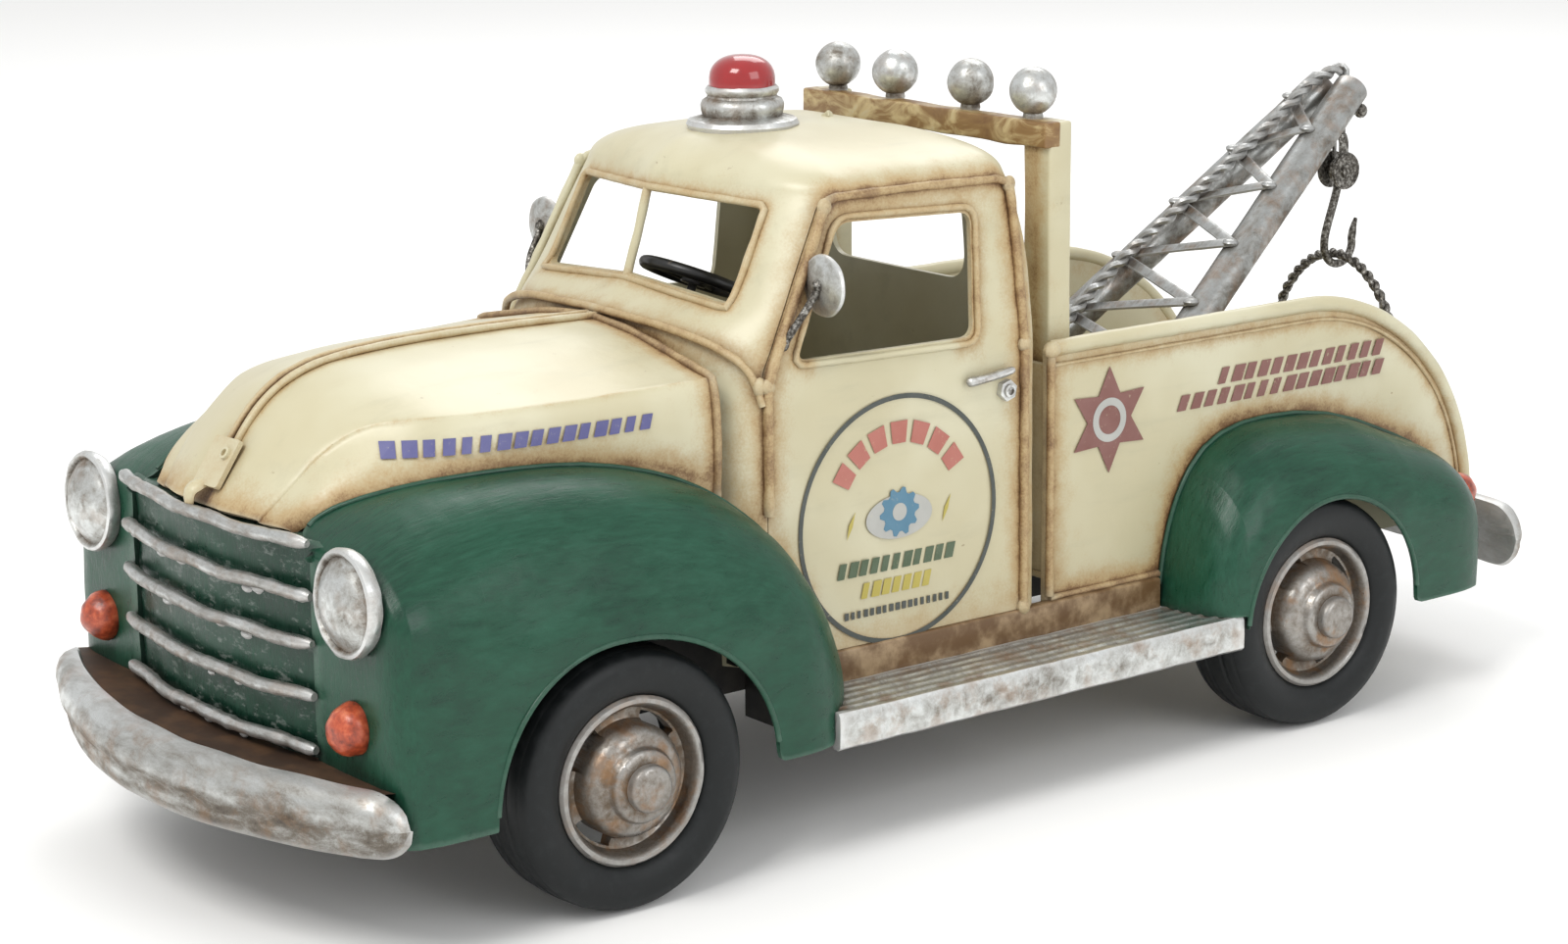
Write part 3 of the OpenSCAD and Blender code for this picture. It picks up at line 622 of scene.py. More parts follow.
def green_paint(name="green_paint", dark=0.0, silvered=0.0):
    """Green enamel with brush strokes, and painted shade, near black, where other surfaces stand
    close. silvered adds flecks of the grille's silver.
    """
    p = Paint(name)
    strokes = p.noise(0.9, 5, 0.65, stretch=(1.2, 9, 3.4), shift=2.0, distort=0.4)
    strokes2 = p.noise(0.45, 4, 0.7, stretch=(1.2, 13, 5), shift=9.0)
    broad = p.noise(26, 3, 0.5, shift=4.0)
    light = p.plus(p.times(strokes, 0.42), p.plus(p.times(strokes2, 0.30), p.times(broad, 0.40)))
    colour = p.ramp(light, [(0.34, lerp(GREEN_DARK, (0, 0.004, 0.003), dark)),
                            (0.56, lerp(GREEN, GREEN_DARK, dark)),
                            (0.82, lerp(GREEN_LIGHT, GREEN, dark))])
    rub = p.plus(p.edge(), p.times(p.minus(p.noise(2.4, 5, 0.7), 0.5), 0.06))
    colour = p.mix(p.step(rub, 0.522, 0.58, 0, 0.4), colour, (0.09, 0.16, 0.12))
    # painted shade: the colour goes near black where other surfaces stand close
    colour = p.mix(p.times(p.step(p.hollow(6), 0.15, 0.75), 0.75), colour, (0.004, 0.010, 0.008))
    rough = p.step(strokes, 0.3, 0.7, 0.26, 0.40)
    if silvered:
        flecks = p.step(p.noise(1.9, 7, 0.75, stretch=(2.2, 1, 1), shift=21.0), 0.53, 0.66,
                        0, silvered)
        colour = p.mix(flecks, colour, (0.17, 0.20, 0.18))
    height = p.plus(p.times(strokes, 0.7), p.plus(p.times(strokes2, 0.45),
                                                 p.times(p.noise(14, 2), 2.5)))
    normal = p.bump(height, 0.42, 0.26)
    return p.finish(colour, rough, 0.0, normal, Specular_IOR_Level=0.36)


def silver_leaf(name, bright, brown, size, golden=0.0, drawn=(1, 1, 1), under=0.0):
    """Mottled silver: brown tints, a golden wash, painted shade in hollows, and painted shade on what
    faces down (under).
    """
    def shone(r, g, b):
        return (r * bright, g * bright, b * bright)

    p = Paint(name)
    mottle = p.noise(size, 8, 0.66, stretch=drawn, distort=0.4)
    cloud = p.noise(size * 5, 5, 0.62, stretch=(1.8, 1, 1), shift=5.0)
    grain = p.noise(0.4, 3, 0.8, shift=2.0)
    mixed = p.plus(p.times(mottle, 0.50), p.plus(p.times(cloud, 0.45), p.times(grain, 0.12)))
    # painted shade: the silver is darker where other surfaces stand close
    hollow = p.hollow(3.5)
    mixed = p.minus(mixed, p.times(hollow, 0.24))
    # painted shade: darker on what faces down, by the share under
    if under:
        mixed = p.minus(mixed, p.step(p.upward(), 0.25, -0.35, 0, under))
    colour = p.ramp(mixed, [(0.30, (0.045, 0.034, 0.024)), (0.40, shone(0.19, 0.165, 0.135)),
                            (0.48, shone(0.42, 0.415, 0.39)), (0.62, shone(0.70, 0.72, 0.71))])
    tint = p.step(p.noise(7, 5, 0.65, shift=12.0), 0.47, 0.66, 0, brown)
    colour = p.mix(tint, colour, (0.26, 0.135, 0.055))
    if golden:
        colour = p.mix(golden, colour, (0.300, 0.165, 0.062))
    rub = p.step(p.edge(), 0.52, 0.58, 0, 0.6)
    colour = p.mix(rub, colour, shone(0.86, 0.87, 0.86))
    rough = p.step(mixed, 0.4, 0.66, 0.62, 0.27)
    metal = p.step(mixed, 0.36, 0.5, 0.35, 0.95)
    height = p.plus(p.times(mottle, 0.7), p.plus(p.times(p.noise(6, 3), 1.6),
                                                p.times(grain, 0.10)))
    normal = p.bump(height, 0.40, 0.26)
    return p.finish(colour, rough, metal, normal)


def dark_wire():
    """Blackened wire with bright rubbed spots."""
    p = Paint("dark_wire")
    mottle = p.noise(0.9, 6, 0.7)
    colour = p.ramp(mottle, [(0.36, (0.020, 0.017, 0.014)), (0.50, (0.110, 0.100, 0.086)),
                             (0.66, (0.42, 0.41, 0.38))])
    normal = p.bump(mottle, 0.4, 0.12)
    return p.finish(colour, p.step(mottle, 0.4, 0.65, 0.55, 0.33), 0.75, normal)


def rubber():
    """Black tyre rubber with a little dust."""
    p = Paint("tyre_rubber")
    dust = p.noise(3, 5, 0.65)
    fine = p.noise(0.3, 2, 0.8)
    colour = p.mix(p.step(dust, 0.45, 0.75, 0, 0.5), (0.0065, 0.0080, 0.0085),
                   (0.020, 0.023, 0.024))
    normal = p.bump(p.plus(fine, p.times(dust, 2)), 0.25, 0.06)
    return p.finish(colour, p.step(dust, 0.35, 0.7, 0.42, 0.56), 0.0, normal,
                    Specular_IOR_Level=0.3)


def plain_dark(name, colour, light, rough):
    """A dull paint that varies between two colours, with a few scratches."""
    p = Paint(name)
    cloud = p.noise(8, 5, 0.6)
    shade = p.mix(p.step(cloud, 0.4, 0.7), colour, light)
    scratch = p.step(p.noise(4, 6, 0.7, stretch=(1, 5, 1), shift=7), 0.66, 0.70, 0, 0.6)
    shade = p.mix(scratch, shade, (0.10, 0.075, 0.05))
    return p.finish(shade, rough, 0.0, p.bump(cloud, 0.2, 0.2))


def lamp_paint():
    """The uneven orange of the parking and tail lamps, with painted shade where other surfaces stand
    close.
    """
    p = Paint("orange_lamp")
    cloud = p.noise(2.6, 5, 0.6)
    colour = p.ramp(cloud, [(0.34, (0.16, 0.022, 0.008)), (0.52, (0.42, 0.065, 0.022)),
                            (0.70, (0.62, 0.16, 0.065))])
    # painted shade: darker where the lamps meet the body and other surfaces stand close
    colour = p.mix(p.times(p.hollow(3), 0.8), colour, (0.04, 0.01, 0.005))
    normal = p.bump(p.plus(cloud, p.times(p.noise(0.8, 3), 0.3)), 0.5, 0.35)
    return p.finish(colour, 0.36, 0.0, normal, Coat_Weight=0.3, Coat_Roughness=0.2)


def beacon_red():
    """The beacon's glossy red."""
    p = Paint("red_lamp")
    cloud = p.noise(5, 3, 0.5)
    colour = p.mix(cloud, (0.23, 0.006, 0.008), (0.36, 0.014, 0.016))
    normal = p.bump(p.noise(3, 2), 0.12, 0.2)
    return p.finish(colour, 0.16, 0.0, normal, Coat_Weight=0.6, Coat_Roughness=0.08)


def decal_paint(name, colour, worn):
    """The flat colour of a painted mark, worn through to the ivory."""
    p = Paint(name)
    wear = p.step(p.noise(1.2, 6, 0.75, shift=4), 0.60, 0.68, 0, worn)
    shade = p.mix(p.noise(6, 3), lerp(colour, (0, 0, 0), 0.18), lerp(colour, (1, 1, 1), 0.06))
    shade = p.mix(wear, shade, IVORY)
    return p.finish(shade, 0.42, 0.0, p.bump(p.noise(0.8, 3), 0.1, 0.1))


# ---------------------------------------------------------------- the truck's lines

# hood, from the cowl to the nose: ridge (y, z), shoulder (x, y, z) and lower seam (x, y, z)
HOOD_RIDGE = [(-63.4, 110.4), (-85, 111), (-105, 111.1), (-122, 110.5), (-135, 108.9),
              (-144, 105.2), (-150.5, 99.5), (-155.8, 92), (-161.4, 83.1)]
HOOD_SHOULDER = [(45.2, -63.4, 102.6), (44.2, -85, 102.4), (42.6, -106, 102.2),
                 (39.6, -120, 101.9), (34.6, -131, 101.6), (28.6, -139.5, 100.2),
                 (25.2, -147.5, 95.6), (23.5, -154, 89.6), (20.5, -160.0, 82.9)]
HOOD_SEAM = [(46.1, -63.4, 79), (45.2, -80, 86.0), (43.9, -98, 90.0), (43.1, -113, 91.3),
             (41.0, -127, 91.2), (37.6, -139, 90.2), (34.4, -147.5, 88.4),
             (31.4, -153.2, 85.8), (28.0, -157.4, 82.4)]


def hood_row(u):
    """One half of a section of the hood, from its ridge to below the fender's seam."""
    last = len(HOOD_RIDGE) - 1
    i = min(int(u * last), last - 1)

    def at(table):
        pts = np.array([(0, *p) if len(p) == 2 else p for p in table], float)
        return catmull_rom(pts[max(i - 1, 0)], pts[i], pts[i + 1], pts[min(i + 2, last)],
                           u * last - i)

    ridge, shoulder, low = at(HOOD_RIDGE), at(HOOD_SHOULDER), at(HOOD_SEAM)
    rise = 1.5 * (1 - u) + 1.0 * u
    ahead = -2.2 * max(0, u - 0.55) / 0.45
    mid = (ridge + shoulder) / 2 + np.array([0, ahead, rise])
    inner = ridge * 0.72 + shoulder * 0.28 + np.array([0, ahead * 0.8, rise * 0.85])
    outer = shoulder * 0.8 + mid * 0.2 + np.array([0.8, 0, 0.5])
    side = (shoulder + low) / 2 + np.array([1.0, -0.6 * u, 0.4])
    under = low + np.array([0.2, 0.3, -7 if u < 0.93 else -1])
    return spline([ridge, inner, mid, outer, shoulder, side, low, under], 25)


# cab, level by level: z, then in plan the middle of its front, the end of the flat front, the
# corner's pull point, the start and the end of the side, the rear corner and the rear
CAB = [
    (39.5, -63, (36, -63), (46.8, -63), (49.5, -54), (49.5, 20), (49.5, 24), (44.5, 24), 24),
    (60, -63, (36, -63), (46.8, -63), (49.5, -54), (49.5, 20), (49.5, 24), (44.5, 24), 24),
    (80, -63, (36, -63), (46.8, -63), (49.5, -54), (49.5, 20), (49.5, 24), (44.5, 24), 24),
    (94, -63, (34, -63), (46.6, -62.6), (49.5, -53), (49.5, 20), (49.5, 24), (44.5, 24), 24),
    (103, -63, (28, -62.8), (46.4, -60), (49.3, -50), (49.3, 20), (49.3, 24), (44.2, 24), 24),
    (109.5, -63, (24, -62.4), (44, -58.4), (48.6, -47.4), (48.6, 19.8), (48.5, 24), (43.5, 24), 24),
    (112.2, -62.6, (22, -61.8), (42, -57), (48.3, -46), (48.3, 19.8), (48.3, 24), (43, 24), 24),
    (115.3, -58.6, (30, -54.8), (43, -52.4), (48, -44.6), (48, 19.6), (48, 24), (42.5, 24), 24),
    (118.4, -54.6, (34.6, -50.6), (43.4, -49), (47.7, -43), (47.7, 19.4), (47.6, 24), (42, 24), 24),
    (127, -51.8, (34.4, -46.2), (42.6, -44.4), (46.8, -38.2), (46.8, 18), (46.6, 23.4),
     (41, 23.4), 23.6),
    (136.4, -49.2, (33.8, -41.6), (41.4, -39.6), (45.8, -33), (45.8, 15), (45.4, 21.4),
     (38, 21.6), 22),
    (139.3, -48, (33.2, -40.6), (40.8, -38), (45.2, -31), (45.2, 13.4), (44.8, 20.0),
     (36.6, 20.4), 20.8),
]
ROOF_Y, ROOF_Z = -14, 149.4


def quadratic(a, b, c, n):
    """A curve from a to c, pulled towards b, with n + 1 points."""
    a, b, c = (np.array(p, float) for p in (a, b, c))
    return [(1 - t) ** 2 * a + 2 * t * (1 - t) * b + t * t * c
            for t in [k / n for k in range(n + 1)]]


def cab_half(level):
    """One half of a level's outline in plan, from the middle of the front to the rear's middle."""
    z, front, a1, corner, c0, c1, rear_corner, e0, rear = level
    flat = [np.array(lerp((0, front), a1, k / 8)) for k in range(8)]
    bend = quadratic(a1, corner, c0, 6)[:-1]
    wall = [np.array(lerp(c0, c1, k / 14)) for k in range(14)]
    back = quadratic(c1, rear_corner, e0, 5)[:-1]
    rear_wall = [np.array(lerp(e0, (0, rear), k / 7)) for k in range(8)]
    return [(p[0], p[1], z) for p in flat + bend + wall + back + rear_wall]


def cab_ring(half):
    """The whole outline of a level, from one half of it."""
    return list(half) + mirrored(half[-2:0:-1])


def cab_front_y(x, z):
    """Where the cab's front lies over a point (x, z) of the windscreen or the cowl."""
    def level_y(level):
        half = np.array(cab_half(level))[:22]
        return float(np.interp(abs(x), half[:, 0], half[:, 1]))
    for low, high in zip(CAB, CAB[1:]):
        if low[0] <= z <= high[0]:
            t = (z - low[0]) / (high[0] - low[0])
            return level_y(low) * (1 - t) + level_y(high) * t
    return level_y(CAB[-1])


def cab_side_x(z):
    """How far out the cab's side lies at a height."""
    return float(np.interp(z, [c[0] for c in CAB], [c[4][0] for c in CAB]))


DOOR = [(-53.4, 39), (-53.4, 102.5), (-34.2, 138.2), (17.2, 137.8), (18.8, 101), (18.8, 39)]
DOOR_WINDOW = [(-45.2, 105.4), (-31.2, 133.4), (5.8, 131.9), (4.4, 104.4)]
WINDSCREEN = [(-34.2, 116.6), (-33.4, 136), (0, 137), (33.4, 136), (34.2, 116.6), (0, 119.2)]

# front fender, from the nose to its foot: y, seam (x, z), half width, shoulder z
FRONT_FENDER = [
    (-158.6, (38, 79.5), 62.5, 66), (-158.2, (36, 81), 65.2, 67), (-157.0, (32, 82.6), 67.4, 67),
    (-154.6, (31, 84.6), 69.0, 66), (-150.5, (32.8, 87.0), 69.8, 63), (-145, (35.4, 88.8), 70, 59),
    (-139, (37.6, 90.0), 70, 56), (-133, (39.4, 90.8), 70, 54), (-127, (41.0, 91.2), 70, 53),
    (-120, (42.2, 91.4), 70, 52), (-113, (43.1, 91.3), 70, 51), (-106, (43.6, 90.9), 70, 50.5),
    (-98, (44.1, 90.0), 70, 50), (-90, (44.6, 88.4), 70, 49), (-82, (45.2, 86.2), 70, 47.5),
    (-76, (45.9, 84.0), 70, 46), (-70, (46.6, 81.0), 70, 43.5), (-65, (47.6, 77.8), 70, 41),
    (-61, (48.6, 74.6), 70, 38.5), (-57, (49.4, 71.0), 69.7, 36), (-53.5, (49.7, 67.0), 69.0, 34),
    (-50, (49.8, 62.4), 67.6, 32.5), (-46.5, (49.8, 57.0), 65.2, 31.5),
    (-43, (49.8, 51.2), 61.8, 31), (-40, (49.8, 45.8), 58.2, 30.5), (-37.4, (49.8, 40.6), 54.2, 30),
    (-35.4, (49.8, 36.4), 51.2, 30),
]
ARCH_Y, ARCH_Z, ARCH_R = -105.6, 28.0, 31.2


def front_bottom(y):
    """The fender's lower edge: it rises over the wheel."""
    if y < ARCH_Y - ARCH_R:
        return 25.6
    if y < -66.5:
        reach = min(1.0, abs(y - ARCH_Y) / (ARCH_R if y < ARCH_Y else 39.2))
        return ARCH_Z - 2.2 + (ARCH_R + 2.0) * (1 - reach ** 2.15) ** 0.5
    return 25.6 if y < -49.4 else 32.3


def table_row(table, y):
    """A fender's seam (x and z), half width and shoulder height at a station y."""
    ys = [r[0] for r in table]
    columns = zip(*[(seam_x, seam_z, wide, shoulder) for _, (seam_x, seam_z), wide, shoulder in table])
    return [np.interp(y, ys, column) for column in columns]


def fender_row(table, y, bottom, power=2.3, count=28):
    """A section of a fender from its seam over the shoulder, ending at its lower edge."""
    seam_x, seam_z, wide, shoulder = table_row(table, y)
    low = bottom(y)
    full = []
    for k in range(33):
        a = math.pi / 2 * k / 32
        full.append((seam_x + (wide - seam_x) * math.sin(a) ** (2 / power),
                     shoulder + (seam_z - shoulder) * math.cos(a) ** (2 / power)))
    full.append((wide, shoulder - 60))
    kept = [full[0]]
    for p, q in zip(full, full[1:]):
        if q[1] < low:
            t = (p[1] - low) / max(p[1] - q[1], 1e-6)
            kept.append((p[0] + (q[0] - p[0]) * t, low))
            break
        kept.append(q)
    pts = np.array(kept)
    station = stations(pts)
    want = np.linspace(0, station[-1], count)
    return [(np.interp(w, station, pts[:, 0]), y, np.interp(w, station, pts[:, 1])) for w in want]


# rear fender, from its front to its tail, with the same columns
REAR_FENDER = [
    (62.6, (48, 34), 57, 32.6), (63.2, (48, 39), 60.5, 33.5), (64.4, (48, 46), 64.0, 35),
    (66.2, (48, 52.6), 66.8, 37), (68.8, (48, 58.6), 68.8, 39.5), (72, (48, 63.6), 69.7, 42),
    (76.5, (48, 68.0), 70, 44.5), (82, (48, 70.8), 70, 46.5), (89, (48, 72.4), 70, 48),
    (97, (48, 72.8), 70, 48.5), (107, (48, 72.4), 70, 48.5), (118, (48, 70.6), 70, 47.5),
    (128, (48, 67.6), 70, 46), (136, (48, 64.4), 70, 44.5), (143, (48, 61.4), 69.9, 42.5),
    (148.5, (48, 58.8), 69.4, 41), (153, (48, 56.0), 68.0, 39), (156.2, (48, 52.8), 65.4, 37),
    (157.8, (48, 49.4), 61.5, 35), (158.4, (48, 46.0), 56.5, 33.5),
]
REAR_ARCH_Y, REAR_ARCH_Z, REAR_ARCH_R = 100.8, 27.4, 28.6


def rear_bottom(y):
    """The rear fender's lower edge: a plain arc over the wheel."""
    if y < REAR_ARCH_Y - REAR_ARCH_R:
        return 32.3
    if y < REAR_ARCH_Y + REAR_ARCH_R:
        return REAR_ARCH_Z + (REAR_ARCH_R ** 2 - (y - REAR_ARCH_Y) ** 2) ** 0.5
    return 25.4


BED_TOP = 98.2


def bed_top(y):
    """The upper edge of a bed side: level, then a quarter of an ellipse down to the tail."""
    if y <= 110:
        return BED_TOP
    return 41 + (BED_TOP - 41) * max(0.0, 1 - ((y - 110) / 59.6) ** 2) ** 0.5


# ---------------------------------------------------------------- body panels

def build_cab(paint, inside):
    """The cab's shell with its openings, and the two doors cut out of it."""
    rows = [cab_ring(cab_half(level)) for level in CAB]
    eaves = cab_half(CAB[-1])
    for degrees in (9, 19, 30, 42, 55, 68, 79, 90):
        a = math.radians(degrees)
        half = []
        for x, y, z in eaves:
            spine = ROOF_Y + (y - ROOF_Y) * 0.42
            top = ROOF_Z - 0.0011 * (spine + 18) ** 2
            c = math.cos(a) ** 0.92
            half.append((x * c, spine + (y - spine) * c, z + (top - z) * math.sin(a)))
        rows.append(cab_ring(half))
    shell = Shape().grid(rows, True).make("cab_outer", weld=0.02)
    facing_out(shell, (0, -15, 95))
    shell = relaxed(subdivided(shell, 2), 148.2, 14)
    wobbled(shell, 0.22, 30, 4)
    shell = thick(shell, 1.3, 1)
    shell.data.materials.clear()
    shell.data.materials.append(paint)
    shell.data.materials.append(inside)

    def prism(name, outline, axis, low, high, radii=2.5):
        return Shape().prism(rounded_outline(outline, radii), axis, low, high).make(name)

    window = prism("window_cutter", DOOR_WINDOW, 0, -60, 60, 3.2)
    door_cut = prism("door_cutter", [(y + (0.22 if y > 0 else -0.22), z + (0.22 if z > 60 else -3))
                                     for y, z in DOOR], 0, -60, 60, 2.6)
    door_fit = prism("door_fit", DOOR, 0, 20, 60, 2.6)
    screen = prism("screen_cutter", WINDSCREEN, 1, -70, -36, 1.8)
    rear = prism("rear_cutter", [(-24.5, 111.7), (-24.5, 134), (24.5, 134), (24.5, 111.7)],
                 1, 15, 30, 6)

    left = cut(cut(copied(shell, "door_left_skin"), door_fit, "INTERSECT"), window)
    right = copied(left, "door_right_skin", True)
    shell = cut(cut(cut(shell, door_cut), screen), rear)
    for o in (window, door_cut, door_fit, screen, rear):
        dropped(o)
    piece(shell, paint, replaces=["cab_shell", "cowl_panel"], seams=True,
          inner=inside)
    piece(left, paint, replaces=["door_left"], seams=True, inner=inside)
    piece(right, paint, replaces=["door_right"], seams=True, inner=inside)


def on_side(path, out=0.35):
    """A path of (y, z) laid on the cab's left side."""
    return [(cab_side_x(z) + out, y, z) for y, z in path]


def build_cab_trim(paint):
    """The soldered wires round the doors, their windows, the windscreen and the cowl."""
    beads = Shape()
    pillar = on_side([(-53.6, 73), (-53.6, 88), (-53.5, 101), (-51.6, 105.6), (-43.5, 121),
                      (-35.0, 137.2)], 0.55)
    top = on_side([(-35.0, 137.2), (-32.8, 138.9), (-8, 138.9), (14.6, 138.4), (17.4, 137)], 0.3)
    rear = on_side([(17.4, 137), (18.4, 120), (19.0, 101), (19.0, 70), (19.0, 40)], 0.5)
    for path, r in ((pillar, 1.15), (top, 0.95), (rear, 1.1)):
        path = resample(path, 2.0)
        beads.tube(path, r * (1 + 0.06 * rng.standard_normal(len(path))), 12)
        seam(path, 4.6, 1.0)
    for p in (pillar[2], pillar[-1], top[-1], rear[2], rear[-1]):
        beads.blob(p, 1.6, (0.8, 1.1, 1.2))
    window = [(-46.6, 104.4), (-32.0, 134.8), (7.0, 133.2), (5.6, 103.0)]
    loop = [(cab_side_x(z) + 0.25, y, z) for y, z in rounded_outline(window, 3.8, 8)]
    beads.tube(resample(loop + [loop[0]], 1.6)[:-1], 0.75, 10, closed=True)
    seam(loop, 3.4, 0.8)
    beads.both()
    # the windscreen's wires and its middle bar
    edge = []
    outline = [(-35.0, 115.8), (-34.2, 136.8), (0, 137.9), (34.2, 136.8), (35.0, 115.8), (0, 118.2)]
    for x, z in resample([*outline, outline[0]], 2.0)[:-1]:
        edge.append((x, cab_front_y(x, z) - 0.35, z))
    beads.tube(edge, 0.85, 10, closed=True)
    seam(edge, 2.8, 0.75)
    bar = [(0, cab_front_y(0, z) + 0.2, z) for z in (118.2, 128, 137.6)]
    beads.tube(resample(bar, 2), 1.05, 12)
    cowl = spline([(0, -63.4, 112.3), (12, -63.3, 112.1), (28, -62.3, 111.3), (41, -58.9, 108.2),
                   (47.2, -56.4, 104), (49.6, -54.6, 97)], 40)
    for path in (cowl, np.array(mirrored(cowl))):
        beads.tube(path, 0.95, 10)
        seam(path, 3.6, 0.9)
    for x in (-49.0, 49.0):
        beads.blob((x, -55, 101), 1.7, (0.8, 1, 1.3))
    obj = beads.make("cab_wire_trim")
    wobbled(obj, 0.12, 7, 8)
    piece(obj, paint, replaces=["door_trim", "windscreen_frame", "cowl_trim"],
          seams=True)
    seam(on_side([(-52, 40.5), (18, 40.5)]), 4.5, 0.75)
    seam([(0, -54, 118), (34, -50, 117)], 2.0, 0.4)
    seam([(x, cab_front_y(x, 139) + 3, 140.0) for x in (-36, -15, 15, 36)], 3.0, 0.32)
    for s in (1, -1):
        seam([(s * 49, -60, z) for z in (74, 84, 98)], 4.5, 0.75)
        seam([(s * 49.4, y, z) for y, z in ((-60, 74), (-53, 66), (-44, 52))], 4.5, 0.8)


def build_hood(paint, inside):
    """The hood, its ridge and rear bead, and the latch on its nose."""
    rows = []
    count = 44
    for k in range(count + 1):
        half = hood_row(k / count)
        rows.append(mirrored(half[:0:-1]) + [tuple(p) for p in half])
    hood = Shape().grid(rows).make("hood_shell", weld=0.01)
    facing_out(hood, (0, -110, 70))
    wobbled(hood, 0.2, 22, 9)
    hood = thick(hood, 1.2, 1)
    piece(hood, paint, replaces=["hood"], seams=True, inner=inside)

    trim = Shape()
    ridge = [hood_row(k / 60)[0] for k in range(61)]
    tangent = directions(ridge)
    normal = np.stack([0 * tangent[:, 0], tangent[:, 2], -tangent[:, 1]], 1)
    for x in (-1.5, 1.5):
        line = np.array(ridge) + normal * 0.55 + np.array([x, 0, 0])
        trim.tube(line[:57], 0.85, 10)
    seam(np.array(ridge), 2.6, 1.0)
    rear = []
    for p in hood_row(0.004):
        rear.append((p[0] * 1.002, -64.6, p[2] + 0.35))
    rear = [p for p in rear if p[2] > 77]
    bead = resample(rear, 1.8)
    for path in (bead, np.array(mirrored(bead))):
        trim.tube(path, 0.95, 10)
        seam(path, 4.2, 1.0)
    strip = trim.make("hood_beads")
    wobbled(strip, 0.1, 6, 3)
    piece(strip, paint, replaces=["hood_strip"], seams=True)

    # the fold along the shoulder, the lower seam and the nose's lower edge
    fold = [hood_row(k / 40)[12] for k in range(34)]
    low = [hood_row(k / 40)[20] for k in range(41)]
    for side in (1, -1):
        seam([(side * p[0], p[1], p[2]) for p in fold], 0.7, 0.55)
        seam([(side * p[0], p[1], p[2]) for p in low], 4.4, 0.85)
        seam([(0, -161.4, 83.1), (side * 20, -160, 82.9), (side * 28, -157.4, 82.4)], 5.5, 0.9)

    latch = Shape()
    lean = math.radians(34)
    along = np.array([0, math.sin(lean), math.cos(lean)])
    out = np.array([0, -math.cos(lean), math.sin(lean)])
    centre = np.array([0.6, -157.6, 91.2])
    outline = rounded_outline([(-4.6, -5.6), (-4.6, 5.4), (5.0, 5.8), (5.0, -5.2)], 0.8, 3)
    ring = [centre + np.array([p[0], 0, 0]) + along * p[1] for p in outline]
    latch.plate([q + out * 0.4 for q in ring], [q + out * 1.5 for q in ring])
    latch.lathe([(0, 0), (1.3, 0), (1.3, 0.7), (0.8, 0.8), (0.7, 0.1), (0, 0.1)],
                centre + np.array([2.6, 0, 0]) + along * 2.2 + out * 1.5, out, 20)
    lug = [centre + out * 0.8 + along * -4.6 + np.array([-1.4, 0, 0]),
           centre + out * 2.6 + along * -7.6 + np.array([-1.6, 0, 0]),
           centre + out * 1.2 + along * -10.4 + np.array([-1.8, 0, 0])]
    latch.tube(spline(lug, 10), [1.6, 1.8, 1.9, 1.9, 1.8, 1.7, 1.6, 1.5, 1.3, 1.0], 10, squash=0.5)
    plate = latch.make("hood_latch_plate")
    seam([tuple(q + out * 1.0) for q in ring], 1.1, 0.7)
    piece(plate, paint, replaces=["hood_latch"], seams=True)


def arch_bead(shape, bottom, table, low_y, high_y, r):
    """The rolled edge round a wheel arch."""
    middle = (low_y + high_y) / 2
    half = (high_y - low_y) / 2
    path = []
    for a in np.linspace(-math.pi / 2, math.pi / 2, 70):
        y = middle + half * math.sin(a)
        edge = fender_row(table, y, bottom)[-1]
        path.append((edge[0] - 0.25, y, edge[2] + 0.15))
    shape.tube(resample(path, 1.5), r, 10)


def on_both_sides(*parts):
    """Puts left pieces and their mirror images on the truck, and drops the sources."""
    for side, s in SIDES:
        for source, name, material, slot, node in parts:
            obj = copied(source, f"{name}_{side}", s < 0)
            piece(obj, material, replaces=[f"{node}_{side}"] if node else ())
    for source, *_ in parts:
        dropped(source)


def build_front_fenders(paint, well):
    """Both front fenders with their rolled edges, and the dark wall behind each wheel."""
    fine = sorted(set(np.round(np.concatenate([
        np.linspace(-158.6, -154, 9), np.linspace(-154, ARCH_Y - ARCH_R - 0.2, 10),
        ARCH_Y - ARCH_R * np.cos(np.linspace(0, math.pi / 2, 26)),
        ARCH_Y + 39.0 * np.sin(np.linspace(0, math.pi / 2, 28)),
        np.linspace(-66.2, -49.6, 12), np.linspace(-49.2, FRONT_FENDER[-1][0], 12)]), 3)))
    rows = [fender_row(FRONT_FENDER, y, front_bottom) for y in fine]
    face = []
    for k in (0.0, 0.35, 0.7, 0.92):
        face.append([(38 + (p[0] - 38) * k if p[0] > 38 else p[0], -158.9 + 0.25 * k, p[2])
                     for p in rows[0]])
    fender = Shape().grid(face + rows).make("front_fender", weld=0.01)
    facing_out(fender, (40, -105, 50))
    fender = subdivided(fender, 1)
    wobbled(fender, 0.3, 26, 21)
    fender = thick(fender, 1.3)
    bead = Shape()
    arch_bead(bead, front_bottom, FRONT_FENDER, ARCH_Y - ARCH_R + 0.1, -66.7, 0.62)
    join = []
    for y in np.linspace(-155.5, -36, 80):
        sx, sz, _, _ = table_row(FRONT_FENDER, y)
        join.append((sx + 0.9, y, sz + 0.05))
    bead.tube(resample(join, 1.5), 0.62, 10)
    edge = bead.make("front_fender_beads")
    liner = Shape()
    liner.box((41.5, -150, 33), (43, -52, 78))
    liner.box((43, -55.5, 27), (60, -54.3, 46))
    liner = liner.make("wheel_well", smooth=False)
    on_both_sides((fender, "front_fender_skin", paint, "green_paint", "front_fender"),
                  (edge, "front_fender_edge", paint, "green_paint", None),
                  (liner, "front_wheel_well", well, "dark_frame", None))


